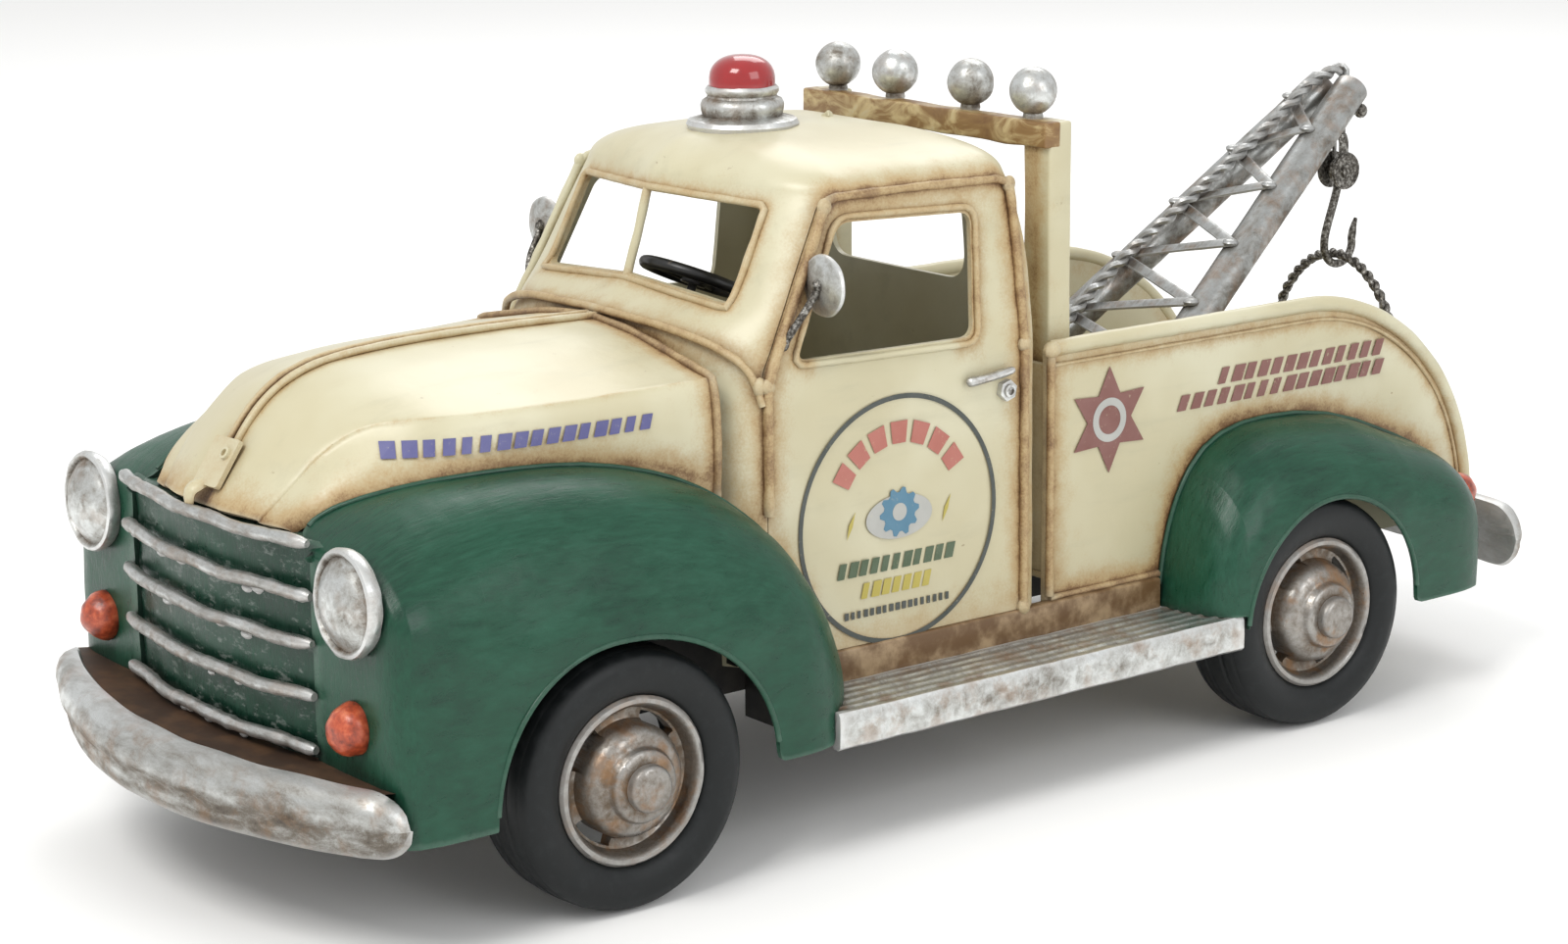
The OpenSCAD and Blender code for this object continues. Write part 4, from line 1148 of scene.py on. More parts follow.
def build_rear_fenders(paint):
    """Both rear fenders, closed at their ends, with their rolled edges."""
    low = REAR_ARCH_Y - REAR_ARCH_R
    high = REAR_ARCH_Y + REAR_ARCH_R
    fine = sorted(set(np.round(np.concatenate([
        np.linspace(REAR_FENDER[0][0], low - 0.1, 12),
        REAR_ARCH_Y - REAR_ARCH_R * np.cos(np.linspace(0.0, math.pi, 34)) * 0.9999,
        np.linspace(high + 0.1, 150, 8), np.linspace(150, REAR_FENDER[-1][0], 12)]), 3)))
    rows = [fender_row(REAR_FENDER, y, rear_bottom) for y in fine]

    def drawn_in(row, share, shift):
        return [(48 + (p[0] - 48) * share, p[1] + shift, p[2]) for p in row]

    rows = ([drawn_in(rows[0], 0, -0.35), drawn_in(rows[0], 0.5, -0.25)] + rows
            + [drawn_in(rows[-1], 0.5, 0.2), drawn_in(rows[-1], 0, 0.25)])
    fender = Shape().grid(rows).make("rear_fender", weld=0.01)
    facing_out(fender, (48, 100, 40))
    fender = subdivided(fender, 1)
    wobbled(fender, 0.3, 24, 33)
    fender = thick(fender, 1.3)
    bead = Shape()
    arch_bead(bead, rear_bottom, REAR_FENDER, low + 0.1, high - 0.1, 0.62)
    join = []
    for y in np.linspace(63, 158, 70):
        _, sz, _, _ = table_row(REAR_FENDER, y)
        join.append((48.7, y, sz + 0.1))
    bead.tube(resample(join, 1.5), 0.7, 10)
    edge = bead.make("rear_fender_beads")
    on_both_sides((fender, "rear_fender_skin", paint, "green_paint", "rear_fender"),
                  (edge, "rear_fender_edge", paint, "green_paint", None))
    for s in (1, -1):
        seam([(s * 48, p[1], p[2] + 0.8) for p in join], 4.6, 0.95)


def bow_y(x, centre=-164.8, end=-160.0, half=40.0):
    """Where the bowed grille bars lie."""
    return centre + (end - centre) * min(1.2, (x / half) ** 2)


def build_nose(green, silver):
    """The panel behind the grille, its five bars and the drops of solder under them."""
    bar_heights = (82.4, 71.8, 61.8, 50.8, 40.0)
    rows = []
    for z in np.linspace(36, 81.5, 24):
        rows.append([(x, bow_y(x) + 2.6, z) for x in np.linspace(-43, 43, 44)])
    rows.append([(p[0], p[1] + 0.8, 82.1) for p in rows[-1]])
    rows.append([(p[0], p[1] + 6, 82.3) for p in rows[-1]])
    panel = Shape().grid(rows).make("nose_panel", weld=0.01)
    facing_out(panel, (0, -120, 60))
    wobbled(panel, 0.35, 9, 13)
    panel = thick(panel, 1.2)
    piece(panel, green, replaces=["grille_panel"])
    bars = Shape()
    for k, z in enumerate(bar_heights):
        xs = np.linspace(-39.6, 39.6, 44)
        path = [(x, bow_y(x) + 0.15 * math.sin(x * 0.31 + k), z + 0.22 * math.sin(x * 0.23 + 2 * k))
                for x in xs]
        radius = 1.42 + 0.07 * rng.standard_normal(44)
        radius[:2] *= (0.6, 0.95)
        radius[-2:] *= (0.95, 0.6)
        bars.tube(path, radius, 12)
    for _ in range(26):
        x = rng.uniform(-37, 37)
        z = rng.choice(bar_heights[1:]) - rng.uniform(1.2, 2.2)
        bars.blob((x, bow_y(x) + 0.9, z), rng.uniform(0.7, 1.3), (1.6, 0.8, 0.8), 8)
    obj = bars.make("grille_rods")
    wobbled(obj, 0.10, 4.0, 6)
    piece(obj, silver, replaces=["grille_bars"])


def dome(radius, base, height, start=0.0, count=9):
    """A profile from a dome's rim up to its crown."""
    return [(radius * math.cos(a), base + height * math.sin(a))
            for a in np.linspace(start, math.pi / 2, count)]


def round_lamp(name, radius, height, centre, axis, seed, uneven, paint, node):
    """A pair of domed lamps with a short neck that goes into the body."""
    lamp = Shape()
    lamp.lathe([(0.001, -0.6), (radius - 0.2, -0.6)] + dome(radius, 0.6, height), centre, axis, 40)
    obj = lamp.both().make(name, weld=0.01)
    wobbled(obj, uneven, 5, seed)
    piece(obj, paint, replaces=[node])


def build_lamps(silver, orange, red):
    """Headlights, parking and tail lamps, the balls on the light bar, and the beacon."""
    lamps = Shape()
    head = [(0.001, 5.7), (2.5, 5.55), (4.8, 5.0), (6.8, 4.0), (8.3, 2.9), (9.0, 2.2), (9.35, 2.1),
            (9.6, 2.6), (10.2, 3.0), (10.8, 2.7), (11.1, 1.9), (10.9, 0.6), (10.2, -0.6),
            (0.001, -0.6)]
    lamps.lathe(head, (54.5, -158.9, 73.4), (0, -1, 0.04), 64)
    lamps.both()
    obj = lamps.make("headlamps", weld=0.01)
    wobbled(obj, 0.14, 4, 2)
    piece(obj, silver, replaces=["headlights"])
    round_lamp("parking_domes", 5.5, 5.2, (53.3, -158.9, 47.6), (0, -1, 0), 17, 0.35, orange,
               "parking_lamps")
    round_lamp("tail_domes", 5.0, 5.6, (55, 158.3, 46), (0, 1, 0), 18, 0.3, orange, "tail_lamps")

    balls = Shape()
    for x in (-35.5, -13.7, 13.7, 35.5):
        profile = [(0.001, -0.3), (2.2, -0.3), (2.4, 0.4)] + dome(5.45, 6.2, 5.45, -1.15, 16)
        balls.lathe(profile, (x, 33.8, 149.2), (0, 0, 1), 40)
    obj = balls.make("roof_balls", weld=0.01)
    wobbled(obj, 0.2, 5, 19)
    piece(obj, silver, replaces=["roof_lamps"])

    base = Shape()
    base.lathe([(0.001, 148.0), (12.4, 148.6), (12.7, 149.6), (12.2, 150.6), (10.0, 151.2),
                (9.0, 151.5), (9.4, 152.8), (9.5, 154.0), (9.0, 155.0), (8.0, 155.5),
                (7.8, 156.0), (8.3, 156.8), (8.3, 157.5), (7.8, 158.1), (0.001, 158.1)],
               (0, BEACON_Y, 0), (0, 0, 1), 64)
    obj = base.make("beacon_ring", weld=0.01)
    wobbled(obj, 0.18, 5, 23)
    piece(obj, silver, replaces=["beacon_base"])
    profile = [(0.001, 157.4), (7.45, 157.4), (7.5, 158.6), (7.45, 160)]
    profile += [(7.4 * math.cos(a) ** 0.8, 160 + 4.98 * math.sin(a))
                for a in np.linspace(0.12, math.pi / 2 - 0.001, 12)]
    lens = Shape().lathe(profile, (0, BEACON_Y, 0), (0, 0, 1), 64)
    piece(lens.make("beacon_dome", weld=0.01), red, replaces=["beacon_lens"])


# a bumper's section: its share of the way down, and how far out it stands
BUMPER_SECTION = ((0, -0.4), (0.05, 0.35), (0.13, 0.72), (0.25, 0.95), (0.38, 1.05), (0.5, 0.98),
                  (0.6, 0.72), (0.72, 0.62), (0.85, 0.50), (0.95, 0.22), (1, -0.4))


def bumper_sweep(shape, xs, top, bottom, bulge, top_z, low_z, depth, front=-1):
    """A pressed bumper whose ends close in. top and bottom give the y of its edges at x."""
    half = max(abs(xs[0]), abs(xs[-1]))
    mid_z = (top_z + low_z) / 2
    rows = []
    for x in xs:
        end = max(0.0, (abs(x) - (half - 9)) / 9)
        close = (1 - end ** 2.2) ** 0.5 if end < 1 else 0.02
        ty, by = top(x), bottom(x)
        section = [(ty + (by - ty) * s + front * bulge * out, top_z + (low_z - top_z) * s)
                   for s, out in BUMPER_SECTION]
        section += [(ty + (by - ty) * s - front * depth, top_z + (low_z - top_z) * s)
                    for s in (0.96, 0.5, 0.04)]
        cy = (ty + by) / 2 - front * depth * 0.5
        rows.append([(x, cy + (y - cy) * (0.35 + 0.65 * close), mid_z + (z - mid_z) * close)
                     for y, z in section])
    shape.grid(rows, True).capped(len(rows[0]), len(rows))


def build_bumpers(silver, brown):
    """The front bumper with the brown shelf behind it, and the rear bumper."""
    xs = np.concatenate([np.linspace(-71.4, -62, 12), np.linspace(-60, 60, 50),
                         np.linspace(62, 71.4, 12)])
    blade = Shape()
    bumper_sweep(blade, xs, lambda x: -176.4 + 16.6 * (x / 71.8) ** 2,
                 lambda x: -179.6 + 21.0 * (x / 71.0) ** 2, 3.9, 38.2, 23.6, 2.2)
    obj = blade.make("front_blade", weld=0.01)
    wobbled(obj, 0.25, 16, 41)
    piece(obj, silver, replaces=["front_bumper"], sharp=50)
    back = -157
    rows = []
    for x in np.linspace(-66, 66, 50):
        y = -175.6 + 16.6 * (x / 71.8) ** 2
        rows.append([(x, y, 37.6), (x, (y + back) / 2, 37.3), (x, back, 37.0),
                     (x, back, 35.6), (x, y + 0.5, 35.6)])
    obj = Shape().grid(rows, True).make("front_shelf")
    wobbled(obj, 0.2, 9, 42)
    piece(obj, brown)
    rear = Shape()
    xs = np.concatenate([np.linspace(-64, -56, 12), np.linspace(-54, 54, 30),
                         np.linspace(56, 64, 12)])
    bumper_sweep(rear, xs, lambda x: 180.2 - 6.0 * (x / 63) ** 2,
                 lambda x: 181.2 - 6.4 * (x / 63) ** 2, 2.4, 41.5, 24.2, 3.0, 1)
    for x in (-25, 25):
        rear.box((x - 2.5, 170, 34), (x + 2.5, 179, 38))
    obj = rear.make("rear_blade", weld=0.01)
    wobbled(obj, 0.3, 16, 43)
    piece(obj, silver, replaces=["rear_bumper"], sharp=50)


def build_boards(silver, rusty):
    """The ribbed running boards and the strips under the doors."""
    for side, s in SIDES:
        profile = [(50, 29.6), (50, 32.2)]
        for x in np.arange(52, 66.5, 0.3):
            profile.append((x, 32.15 + 0.45 * max(0, math.cos((x - 52) * 2 * math.pi / 3.3))))
        profile += [(67.2, 32.4), (68.4, 32.3), (68.9, 31.4), (68.95, 28), (68.8, 24.6),
                    (68.1, 24.0), (66.6, 24.1), (66.4, 24.8), (66.4, 29.6)]
        rows = [[(s * x, y, z) for x, z in profile] for y in np.linspace(-49.6, 71.2, 50)]
        board = Shape().grid(rows, True).capped(len(profile), len(rows))
        obj = board.make(f"side_step_{side}")
        wobbled(obj, 0.16, 12, 51)
        piece(obj, silver, replaces=[f"running_board_{side}"], sharp=45)
    sill = Shape().box((47.2, -48, 31.8), (50.4, 62, 39.4)).both()
    sill = sill.make("sill_strips", smooth=False)
    piece(bevelled(sill, 0.6), rusty, replaces=["sills"])


def build_bed(paint):
    """The bed's sides with their rolled rails, its floor, its headboard and its tailgate."""
    for side, s in SIDES:
        rows = []
        for y in np.concatenate([np.linspace(27.6, 110, 40),
                                 110 + 59.5 * np.sin(np.linspace(0.02, math.pi / 2, 34))]):
            top = bed_top(y)
            rows.append([(s * 48, y, 38 + (top - 38) * k / 26) for k in range(27)])
        panel = Shape().grid(rows).make(f"bed_panel_{side}", weld=0.002)
        facing_out(panel, (0, 90, 60))
        wobbled(panel, 0.25, 30, 61)
        panel = thick(panel, 1.6, 1)
        piece(panel, paint, replaces=[f"bed_side_{side}"], seams=True, inner=paint)
        rail = Shape()
        path = [(s * 47.7, y, bed_top(y) + 0.2) for y in np.linspace(28.5, 110, 30)]
        path += [(s * 47.7, 110 + 60.0 * math.sin(a), 41 + (BED_TOP - 40.8) * math.cos(a))
                 for a in np.linspace(0.05, 1.50, 34)]
        rail.tube(resample(path, 2), 1.9, 14)
        # a groove under the rail, which comes nearer to it on the way down to the tail
        groove = []
        for _, y, z in path:
            down = max(0.0, (y - 112) / 58)
            groove.append((s * 48.2, y - 2.2 * down, z - 3.9 * (1 - 0.5 * down)))
        rail.tube(resample(groove, 2), 0.45, 8)
        front = [(s * 48.3, 28.4, 97), (s * 48.3, 28.4, 40.5)]
        rail.tube(resample(front, 2), 1.0, 12)
        rail.tube(resample([(s * 48.2, 28.4, 39.8), (s * 48.2, 66, 39.8)], 2), 0.9, 10)
        seam(groove, 2.6, 0.8)
        seam(front, 4.4, 1.0)
        seam([(s * 48.2, 28, 39.5), (s * 48.2, 66, 39.5)], 5.0, 1.0)
        seam([(s * 47.7, y, 41) for y in (158, 170)], 6.0, 0.8)
        rail.blob((s * 48.3, 28.6, 98.2), 2.2, (0.8, 1.1, 0.9))
        obj = rail.make(f"bed_rail_{side}")
        wobbled(obj, 0.14, 8, 62)
        piece(obj, paint, seams=True)
    floor = Shape().box((-46, 28.2, 44), (46, 165.5, 45.7)).make("bed_base", smooth=False)
    piece(bevelled(floor, 0.3), paint, replaces=["bed_floor"], seams=True)
    head = Shape().box((-46, 28.2, 45.7), (46, 30, 94.5)).make("bed_head", smooth=False)
    piece(bevelled(head, 0.4), paint, replaces=["headboard"], seams=True)
    gate = Shape().box((-45.6, 154.5, 45.7), (45.6, 156.2, 71.2))
    gate.tube([(-45.6, 155.35, 71.4), (0, 155.35, 71.5), (45.6, 155.35, 71.4)], 1.5, 12)
    gate = gate.make("bed_gate", smooth=False)
    piece(bevelled(gate, 0.3), paint, replaces=["tailgate"], seams=True)
    seam([(-46, 30, 46), (46, 30, 46)], 6, 0.8)
    seam([(-46, 154, 46), (46, 154, 46)], 6, 0.8)


def build_light_bar(paint, ochre):
    """The two posts behind the cab and the beam across them."""
    posts = Shape()
    for s in (-1, 1):
        low, high = sorted((s * 35.2, s * 44.2))
        posts.box((low, 31.2, 45.8), (high, 38.0, 149.1))
        seam([(s * 39, 31.2, z) for z in range(46, 149, 6)], 3.4, 0.8)
        seam([(s * 35.4, 31.4, z) for z in range(46, 149, 6)], 2.2, 0.7)
    obj = bevelled(posts.make("bar_posts", smooth=False), 0.7)
    obj = subdivide_long(obj, 3.0)
    wobbled(obj, 0.22, 20, 71)
    piece(obj, paint, replaces=["light_bar_posts"], seams=True)
    beam = Shape().box((-44.4, 29.6, 143.3), (44.4, 34.4, 149.2)).make("bar_beam", smooth=False)
    beam = subdivide_long(bevelled(beam, 0.6), 3.0)
    wobbled(beam, 0.25, 14, 72)
    piece(beam, ochre, replaces=["light_bar_beam"])


def build_mirrors(silver, wire):
    """Both round mirrors on their bent wires."""
    disc, stems = Shape(), Shape()
    disc.lathe([(0.001, -1.0), (4.5, -1.0), (6.2, -0.5), (6.8, 0.2), (6.6, 0.9), (5.9, 1.2),
                (4.0, 1.7), (2.0, 2.0), (0.001, 2.1)], (53.0, -40.2, 121.8), (0, -1, 0), 48)
    disc.both()
    stems.tube(spline([(53, -42, 121.8), (52.6, -43.6, 119), (51.6, -46.4, 114.6),
                       (49.2, -48.6, 109.6)], 14), 0.85, 10)
    stems.blob((52.9, -42.1, 121.8), 1.5)
    stems.blob((49.2, -48.6, 109.8), 1.4, (0.7, 1, 1.3))
    stems.both()
    obj = disc.make("mirror_discs", weld=0.01)
    wobbled(obj, 0.15, 5, 81)
    piece(obj, silver, replaces=["mirrors"])
    piece(stems.make("mirror_stems"), wire)


def build_handles(silver):
    """On each door a bent rod and a hexagonal nut."""
    shape = Shape()
    shape.tube(spline([(50.1, 2.2, 94.6), (51.1, 3.0, 94.8), (51.3, 8, 95.2), (51.2, 14.5, 96.0)],
                      16), [0.7, 0.9, 1.1, 1.15, 1.15, 1.1, 1.1, 1.05, 1.0, 1.0, 1.0, 1.0, 1.0, 1.0,
                            0.95, 0.7], 10)
    shape.tube([(49.5, 4.0, 94.8), (51, 4.0, 94.8)], 0.8, 10)
    nut = [(13.4 + 2.5 * math.cos(a), 91.3 + 2.5 * math.sin(a))
           for a in angles(6, 0.3)]
    shape.prism(nut, 0, 49.3, 51.0)
    shape.lathe([(1.5, 0), (1.5, 0.8), (0.9, 0.9), (0.9, 0.3), (0.001, 0.3)], (50.9, 13.4, 91.3),
                (1, 0, 0), 20)
    shape.both()
    obj = bevelled(shape.make("door_pulls", smooth=True), 0.2, 2)
    piece(obj, silver, replaces=["door_handles"])


def build_steering(black):
    """The steering wheel, with its rim, hub and three spokes."""
    tilt = math.radians(24)
    normal = np.array([0, math.sin(tilt), math.cos(tilt)])
    hub = np.array([3.5, -38.5, 116.5])
    across = np.array([1.0, 0, 0])
    ahead = np.cross(normal, across)
    wheel = Shape()
    rim = [hub + 11.8 * (math.cos(a) * across + math.sin(a) * ahead)
           for a in angles(56)]
    wheel.tube(rim, 1.4, 14, closed=True)
    wheel.lathe([(1.05, -1.6), (2.8, -1.6), (3.1, -0.9), (2.8, 0.6), (1.05, 1.0)], hub, normal, 32)
    for a in (0, 2.094, 4.189):
        d = math.cos(a) * across + math.sin(a) * ahead
        wheel.tube([hub + d * 2.4 - normal * 0.4, hub + d * 7, hub + d * 11.6], 0.95, 10)
    piece(wheel.make("steering_ring"), black, "steering_wheel",
          replaces=["steering_wheel"])


# ---------------------------------------------------------------- boom, cable and hook

BOOM_FOOT = np.array([30, 47, 49.6])
BOOM_TIP = np.array([5.4, 167.5, 139.4])


def on_boom(t, x_share=1.0, lift=0.0):
    """A point along the boom at its share t, x_share of the way out to the left tube."""
    point = BOOM_FOOT + (BOOM_TIP - BOOM_FOOT) * t
    rise = math.atan2(BOOM_TIP[2] - BOOM_FOOT[2], BOOM_TIP[1] - BOOM_FOOT[1])
    return np.array([point[0] * x_share, point[1] - lift * math.sin(rise),
                     point[2] + lift * math.cos(rise)])


def strands(shape, path, radius, around, turns, count=2, sides=7):
    """Wires twisted round each other along a path."""
    path = np.array(path, float)
    tangent = directions(path)
    u = np.cross(tangent[0], [1.0, 0.1, 0.2])
    frames = []
    for t in tangent:
        u = u - t * (u @ t)
        u /= np.linalg.norm(u)
        frames.append((u.copy(), np.cross(t, u)))
    for s in range(count):
        wire = []
        for i, q in enumerate(path):
            a = 2 * math.pi * (turns * i / (len(path) - 1) + s / count)
            wire.append(q + around * (math.cos(a) * frames[i][0] + math.sin(a) * frames[i][1]))
        shape.tube(wire, radius, sides)


def build_boom(silver, wire, rope):
    """The boom's two tubes, the zigzag strips between them, the pin at its tip and the cable."""
    for side, s in SIDES:
        tubes = Shape()
        start = on_boom(-0.01) * (s, 1, 1)
        end = on_boom(1.028) * (s, 1, 1)
        length = np.linalg.norm(end - start)
        profile = [(3.3, 0), (4.4, 0), (4.5, 0.15)]
        profile += [(4.5, h) for h in np.linspace(4, length - 4, 30)]
        profile += [(4.5, length - 0.15), (4.4, length), (3.3, length), (3.3, 0)]
        tubes.lathe(profile, start, (end - start) / length, 40)
        tubes.blob(start + (0, -1.4, -2.6), 2.4, (2.0, 1.5, 0.55))
        obj = tubes.make(f"boom_pipe_{side}")
        wobbled(obj, 0.12, 14, 91)
        piece(obj, silver, replaces=[f"boom_tube_{side}"])
    braces = Shape()
    count = 13
    up = on_boom(0, 0, 1) - on_boom(0, 0, 0)
    section = [(1.5, 0), (1.3, 0.32), (0.8, 0.42), (-0.8, 0.42), (-1.3, 0.32), (-1.5, 0),
               (-1.3, -0.32), (1.3, -0.32)]
    for i in range(count):
        near = 1 if i % 2 == 0 else -1
        a = on_boom(0.06 + 0.9 * i / count, near, 4.75)
        b = on_boom(0.06 + 0.9 * (i + 1) / count, -near, 4.95)
        wide = np.cross(up, (b - a) / np.linalg.norm(b - a))
        rows = [[a + (b - a) * k / 8 + wide * w + up * (h + 0.2 * math.sin(math.pi * k / 8))
                 for w, h in section] for k in range(9)]
        braces.grid(rows, True).capped(len(section), len(rows))
        for q in (a, b):
            braces.blob(q, 2.0, (1, 1, 0.5), 10)
    obj = braces.make("boom_lacing")
    wobbled(obj, 0.1, 5, 92)
    piece(obj, silver, replaces=["boom_braces"])
    pin = Shape()
    pin.tube([(x, PIN_Y, PIN_Z) for x in (-8.4, -3, 3, 8.4)], 0.9, 20)
    for x in (-7.6, 7.6):
        pin.blob((x, 171.5, 136.2), 1.9, (0.9, 1, 1), 12)
    piece(pin.make("boom_crosspin"), wire, replaces=["boom_pin"])
    cable = Shape()
    route = [(0, 173.2, 143.0), (0, 171.4, 146.4), on_boom(0.98, 0, 7.4)]
    route += [on_boom(share, 0, lift) + (x, 0, 0)
              for share, x, lift in ((0.92, -1, 7.4), (0.8, -3.5, 7.2), (0.66, -7.5, 7.2),
                                     (0.54, -11, 7.2), (0.4, -12, 7.2), (0.22, -10, 7.2),
                                     (0.08, -5, 7.2))]
    route += [(-1, 42, 54.6), (0, 36, 53), (0, 31, 53)]
    path = resample(spline(route, 90), 0.9)
    strands(cable, path, 0.92, 0.86, 21)
    cable.tube([(0, 173.4, 143.4), (0, 173.9, 141.6), (0, 173, 139.4)], 0.9, 10)
    piece(cable.make("boom_rope"), rope, replaces=["boom_cable"])


def build_hook(wire):
    """The hanger with its pulley, the hook in it and the sling in the hook."""
    hanger = Shape()
    ring = [(0, PIN_Y + 1.75 * math.cos(a), PIN_Z + 1.75 * math.sin(a))
            for a in angles(20)]
    hanger.tube(ring, 0.72, 10, closed=True)
    hanger.box((-0.6, 170.3, 129), (0.6, 173.5, 134.2))
    fork = [(x, PIN_Y, z) for x, z in ((-1.65, 119.0), (-1.65, 127.4), (-0.9, 129.2),
                                       (0.9, 129.2), (1.65, 127.4), (1.65, 119.0))]
    hanger.tube(resample(fork, 1.0), 1.5, 12, squash=0.3)
    hanger.tube([(x, PIN_Y, PULLEY_Z) for x in (-3.4, 0, 3.4)], 0.95, 16)
    obj = hanger.make("hanger_strap")
    piece(obj, wire, "hook_hanger", replaces=["pulley_hanger"])
    discs = Shape()
    profile = [(1.0, -0.5), (4.2, -0.5), (4.8, -0.3), (4.9, 0.1), (4.7, 0.5), (4.1, 0.62),
               (3.2, 0.4), (2.0, 0.4), (1.7, 0.9), (1.0, 0.9), (1.0, -0.5)]
    discs.lathe(profile, (2.5, PIN_Y, PULLEY_Z), (1, 0, 0), 40)
    discs.both()
    piece(discs.make("hanger_discs"), wire, "hook_hanger", replaces=["pulley_discs"])
    hook = Shape()
    path = [(0, PIN_Y + 2.2 * math.sin(a), PULLEY_Z + 2.2 * math.cos(a))
            for a in np.linspace(3.6, 3.6 - 2 * math.pi, 22)]
    path += [(0, PIN_Y, 116.6), (0, 170.6, 112), (0, 168.9, 107.4), (0, 167.5, 103)]
    path += [(0, 172.5 + 5.2 * math.cos(a), 100.4 + 5.2 * math.sin(a))
             for a in np.linspace(math.radians(188), math.radians(372), 20)]
    path += [(0, 178.2, 104.6), (0, 179.0, 106.6)]
    path = resample(spline(path, 130), 0.7)
    radius = np.full(len(path), 1.08)
    radius[-6:] = np.linspace(1.05, 0.5, 6)
    hook.tube(path, radius, 14)
    piece(hook.make("hook_wire"), wire, "tow_hook", replaces=["tow_hook"])
    sling = Shape()
    loop = [(21.0 * math.sin(a) * (1 - 0.14 * math.cos(a)), PIN_Y, 76.6 + 21.4 * math.cos(a))
            for a in np.linspace(0.0, 2 * math.pi, 150)]
    strands(sling, loop, 0.78, 0.66, 21)
    piece(sling.make("sling_loop"), wire, "tow_sling", replaces=["tow_sling"])


# ---------------------------------------------------------------- wheels

# profiles of (radius, distance outwards from the wheel's middle)
TYRE = [(18.2, 7.6), (19.4, 8.6), (21.5, 9.5), (24.2, 9.75), (26.2, 9.2), (27.2, 8.0),
        (27.6, 6.7), (27.3, 6.3), (27.75, 5.9), (27.9, 3.4), (27.45, 3.0), (27.45, 2.4),
        (28.0, 2.0), (28.0, -2.0), (27.45, -2.4), (27.45, -3.0), (27.9, -3.4),
        (27.75, -5.9), (27.3, -6.3), (27.6, -6.7), (27.2, -8.0), (26.2, -9.2),
        (24.2, -9.75), (21.5, -9.5), (19.4, -8.6), (18.2, -7.6), (18.1, -4),
        (18.1, 4), (18.2, 7.6)]
RIM = [(18.0, 6.6), (18.1, 7.7), (17.5, 8.4), (16.6, 8.5), (16.0, 8.0), (15.6, 6.4),
       (15.0, 5.0), (13.8, 4.6), (12.8, 5.0), (12.2, 6.6), (11.6, 8.6), (10.4, 9.9),
       (9.0, 10.4), (8.4, 10.5), (8.0, 10.9), (7.8, 12.0), (7.3, 12.6), (6.0, 12.8),
       (3.6, 12.8), (2.6, 12.8), (2.5, 12.4), (2.5, 2.0), (14.0, 1.6), (17.0, 2.4),
       (18.0, 6.6)]


def rim_slots(y, s, turned):
    """A cutter with the four curved slots of a rim."""
    cutter = Shape()
    for k in range(4):
        middle = math.radians(45 + 90 * k + turned)
        arc = np.linspace(middle - 0.36, middle + 0.36, 12)
        outline = [(y + r * math.cos(a), AXLE_Z + r * math.sin(a))
                   for r, stretch in ((14.5, arc), (12.2, arc[::-1])) for a in stretch]
        cutter.prism(outline, 0, s * 58.0, s * 66.0)
    return cutter.make("slot_cutter")


def build_wheels(rubber_mat, rim_mat):
    """The four tyres and their slotted rims, each pair on its own body."""
    for name, y in AXLE_Y.items():
        for side, s in SIDES:
            body = f"wheel_{name}_{side}"
            centre = (s * WHEEL_X, y, AXLE_Z)
            tyre = Shape().lathe(TYRE, centre, (s, 0, 0), 96)
            obj = tyre.make(f"tread_{name}_{side}", weld=0.01)
            piece(obj, rubber_mat, body, replaces=[f"tyre_{name}_{side}"], sharp=50)
            rim = Shape().lathe(RIM, centre, (s, 0, 0), 96)
            obj = rim.make(f"disc_{name}_{side}", weld=0.01)
            cutter = rim_slots(y, s, 7 if name == "front" else -11)
            obj = cut(obj, cutter)
            dropped(cutter)
            wobbled(obj, 0.10, 7, 101 + len(body))
            piece(obj, rim_mat, body, replaces=[f"rim_{name}_{side}"], sharp=42)


def build_axle_caps(rim_mat):
    """The domed caps on the ends of the axle rods."""
    caps = Shape()
    for y in AXLE_Y.values():
        caps.lathe([(0.001, 1.9), (4.0, 1.85), (4.7, 1.5), (5.05, 0.9), (5.1, -0.2),
                    (4.9, -0.9), (0.001, -0.9)], (72.3, y, AXLE_Z), (1, 0, 0), 40)
    piece(caps.both().make("axle_domes", weld=0.01), rim_mat, replaces=["axle_caps"])


# ---------------------------------------------------------------- painted marks

def thin_mark(shape, outline, surface, lift=0.06, rise=0.05):
    """A thin closed plate in the shape of a 2-D outline, laid on a surface (u, v) -> point, out."""
    low, high = [], []
    for u, v in outline:
        point, out = surface(u, v)
        low.append(point + out * lift)
        high.append(point + out * (lift + rise))
    shape.plate(low, high)


def ring_mark(shape, centre, radii, surface, sides=96, lift=0.06):
    """A thin ring laid on a surface."""
    inner, outer = radii
    rows = []
    for a in angles(sides):
        ring = []
        for r, h in ((inner, lift), (outer, lift), (outer, lift + 0.05), (inner, lift + 0.05)):
            point, out = surface(centre[0] + r * math.cos(a), centre[1] + r * math.sin(a))
            ring.append(point + out * h)
        rows.append(ring)
    shape.grid(rows + [rows[0]], True)


def oval(centre, wide, high, count):
    """An ellipse's outline."""
    return [(centre[0] + wide * math.cos(a), centre[1] + high * math.sin(a)) for a in angles(count)]


def block_row(shape, surface, start, end, middle, height, width, gap, lean=0.9, lift=0.06):
    """A row of slanted blocks, as a plain stand-in for a line of painted decoration."""
    step = width + gap
    count = int((end - start + gap) / step)
    for k in range(count):
        u = start + k * step
        wide = width * (0.70 + 0.35 * rng.random())
        half = height / 2
        thin_mark(shape, [(u - lean / 2, middle - half), (u + wide - lean / 2, middle - half),
                          (u + wide + lean / 2, middle + half), (u + lean / 2, middle + half)],
                  surface, lift)


HOOD_ROWS = [hood_row(k / 80) for k in range(81)]
HOOD_STATIONS = [-row[17][1] for row in HOOD_ROWS]


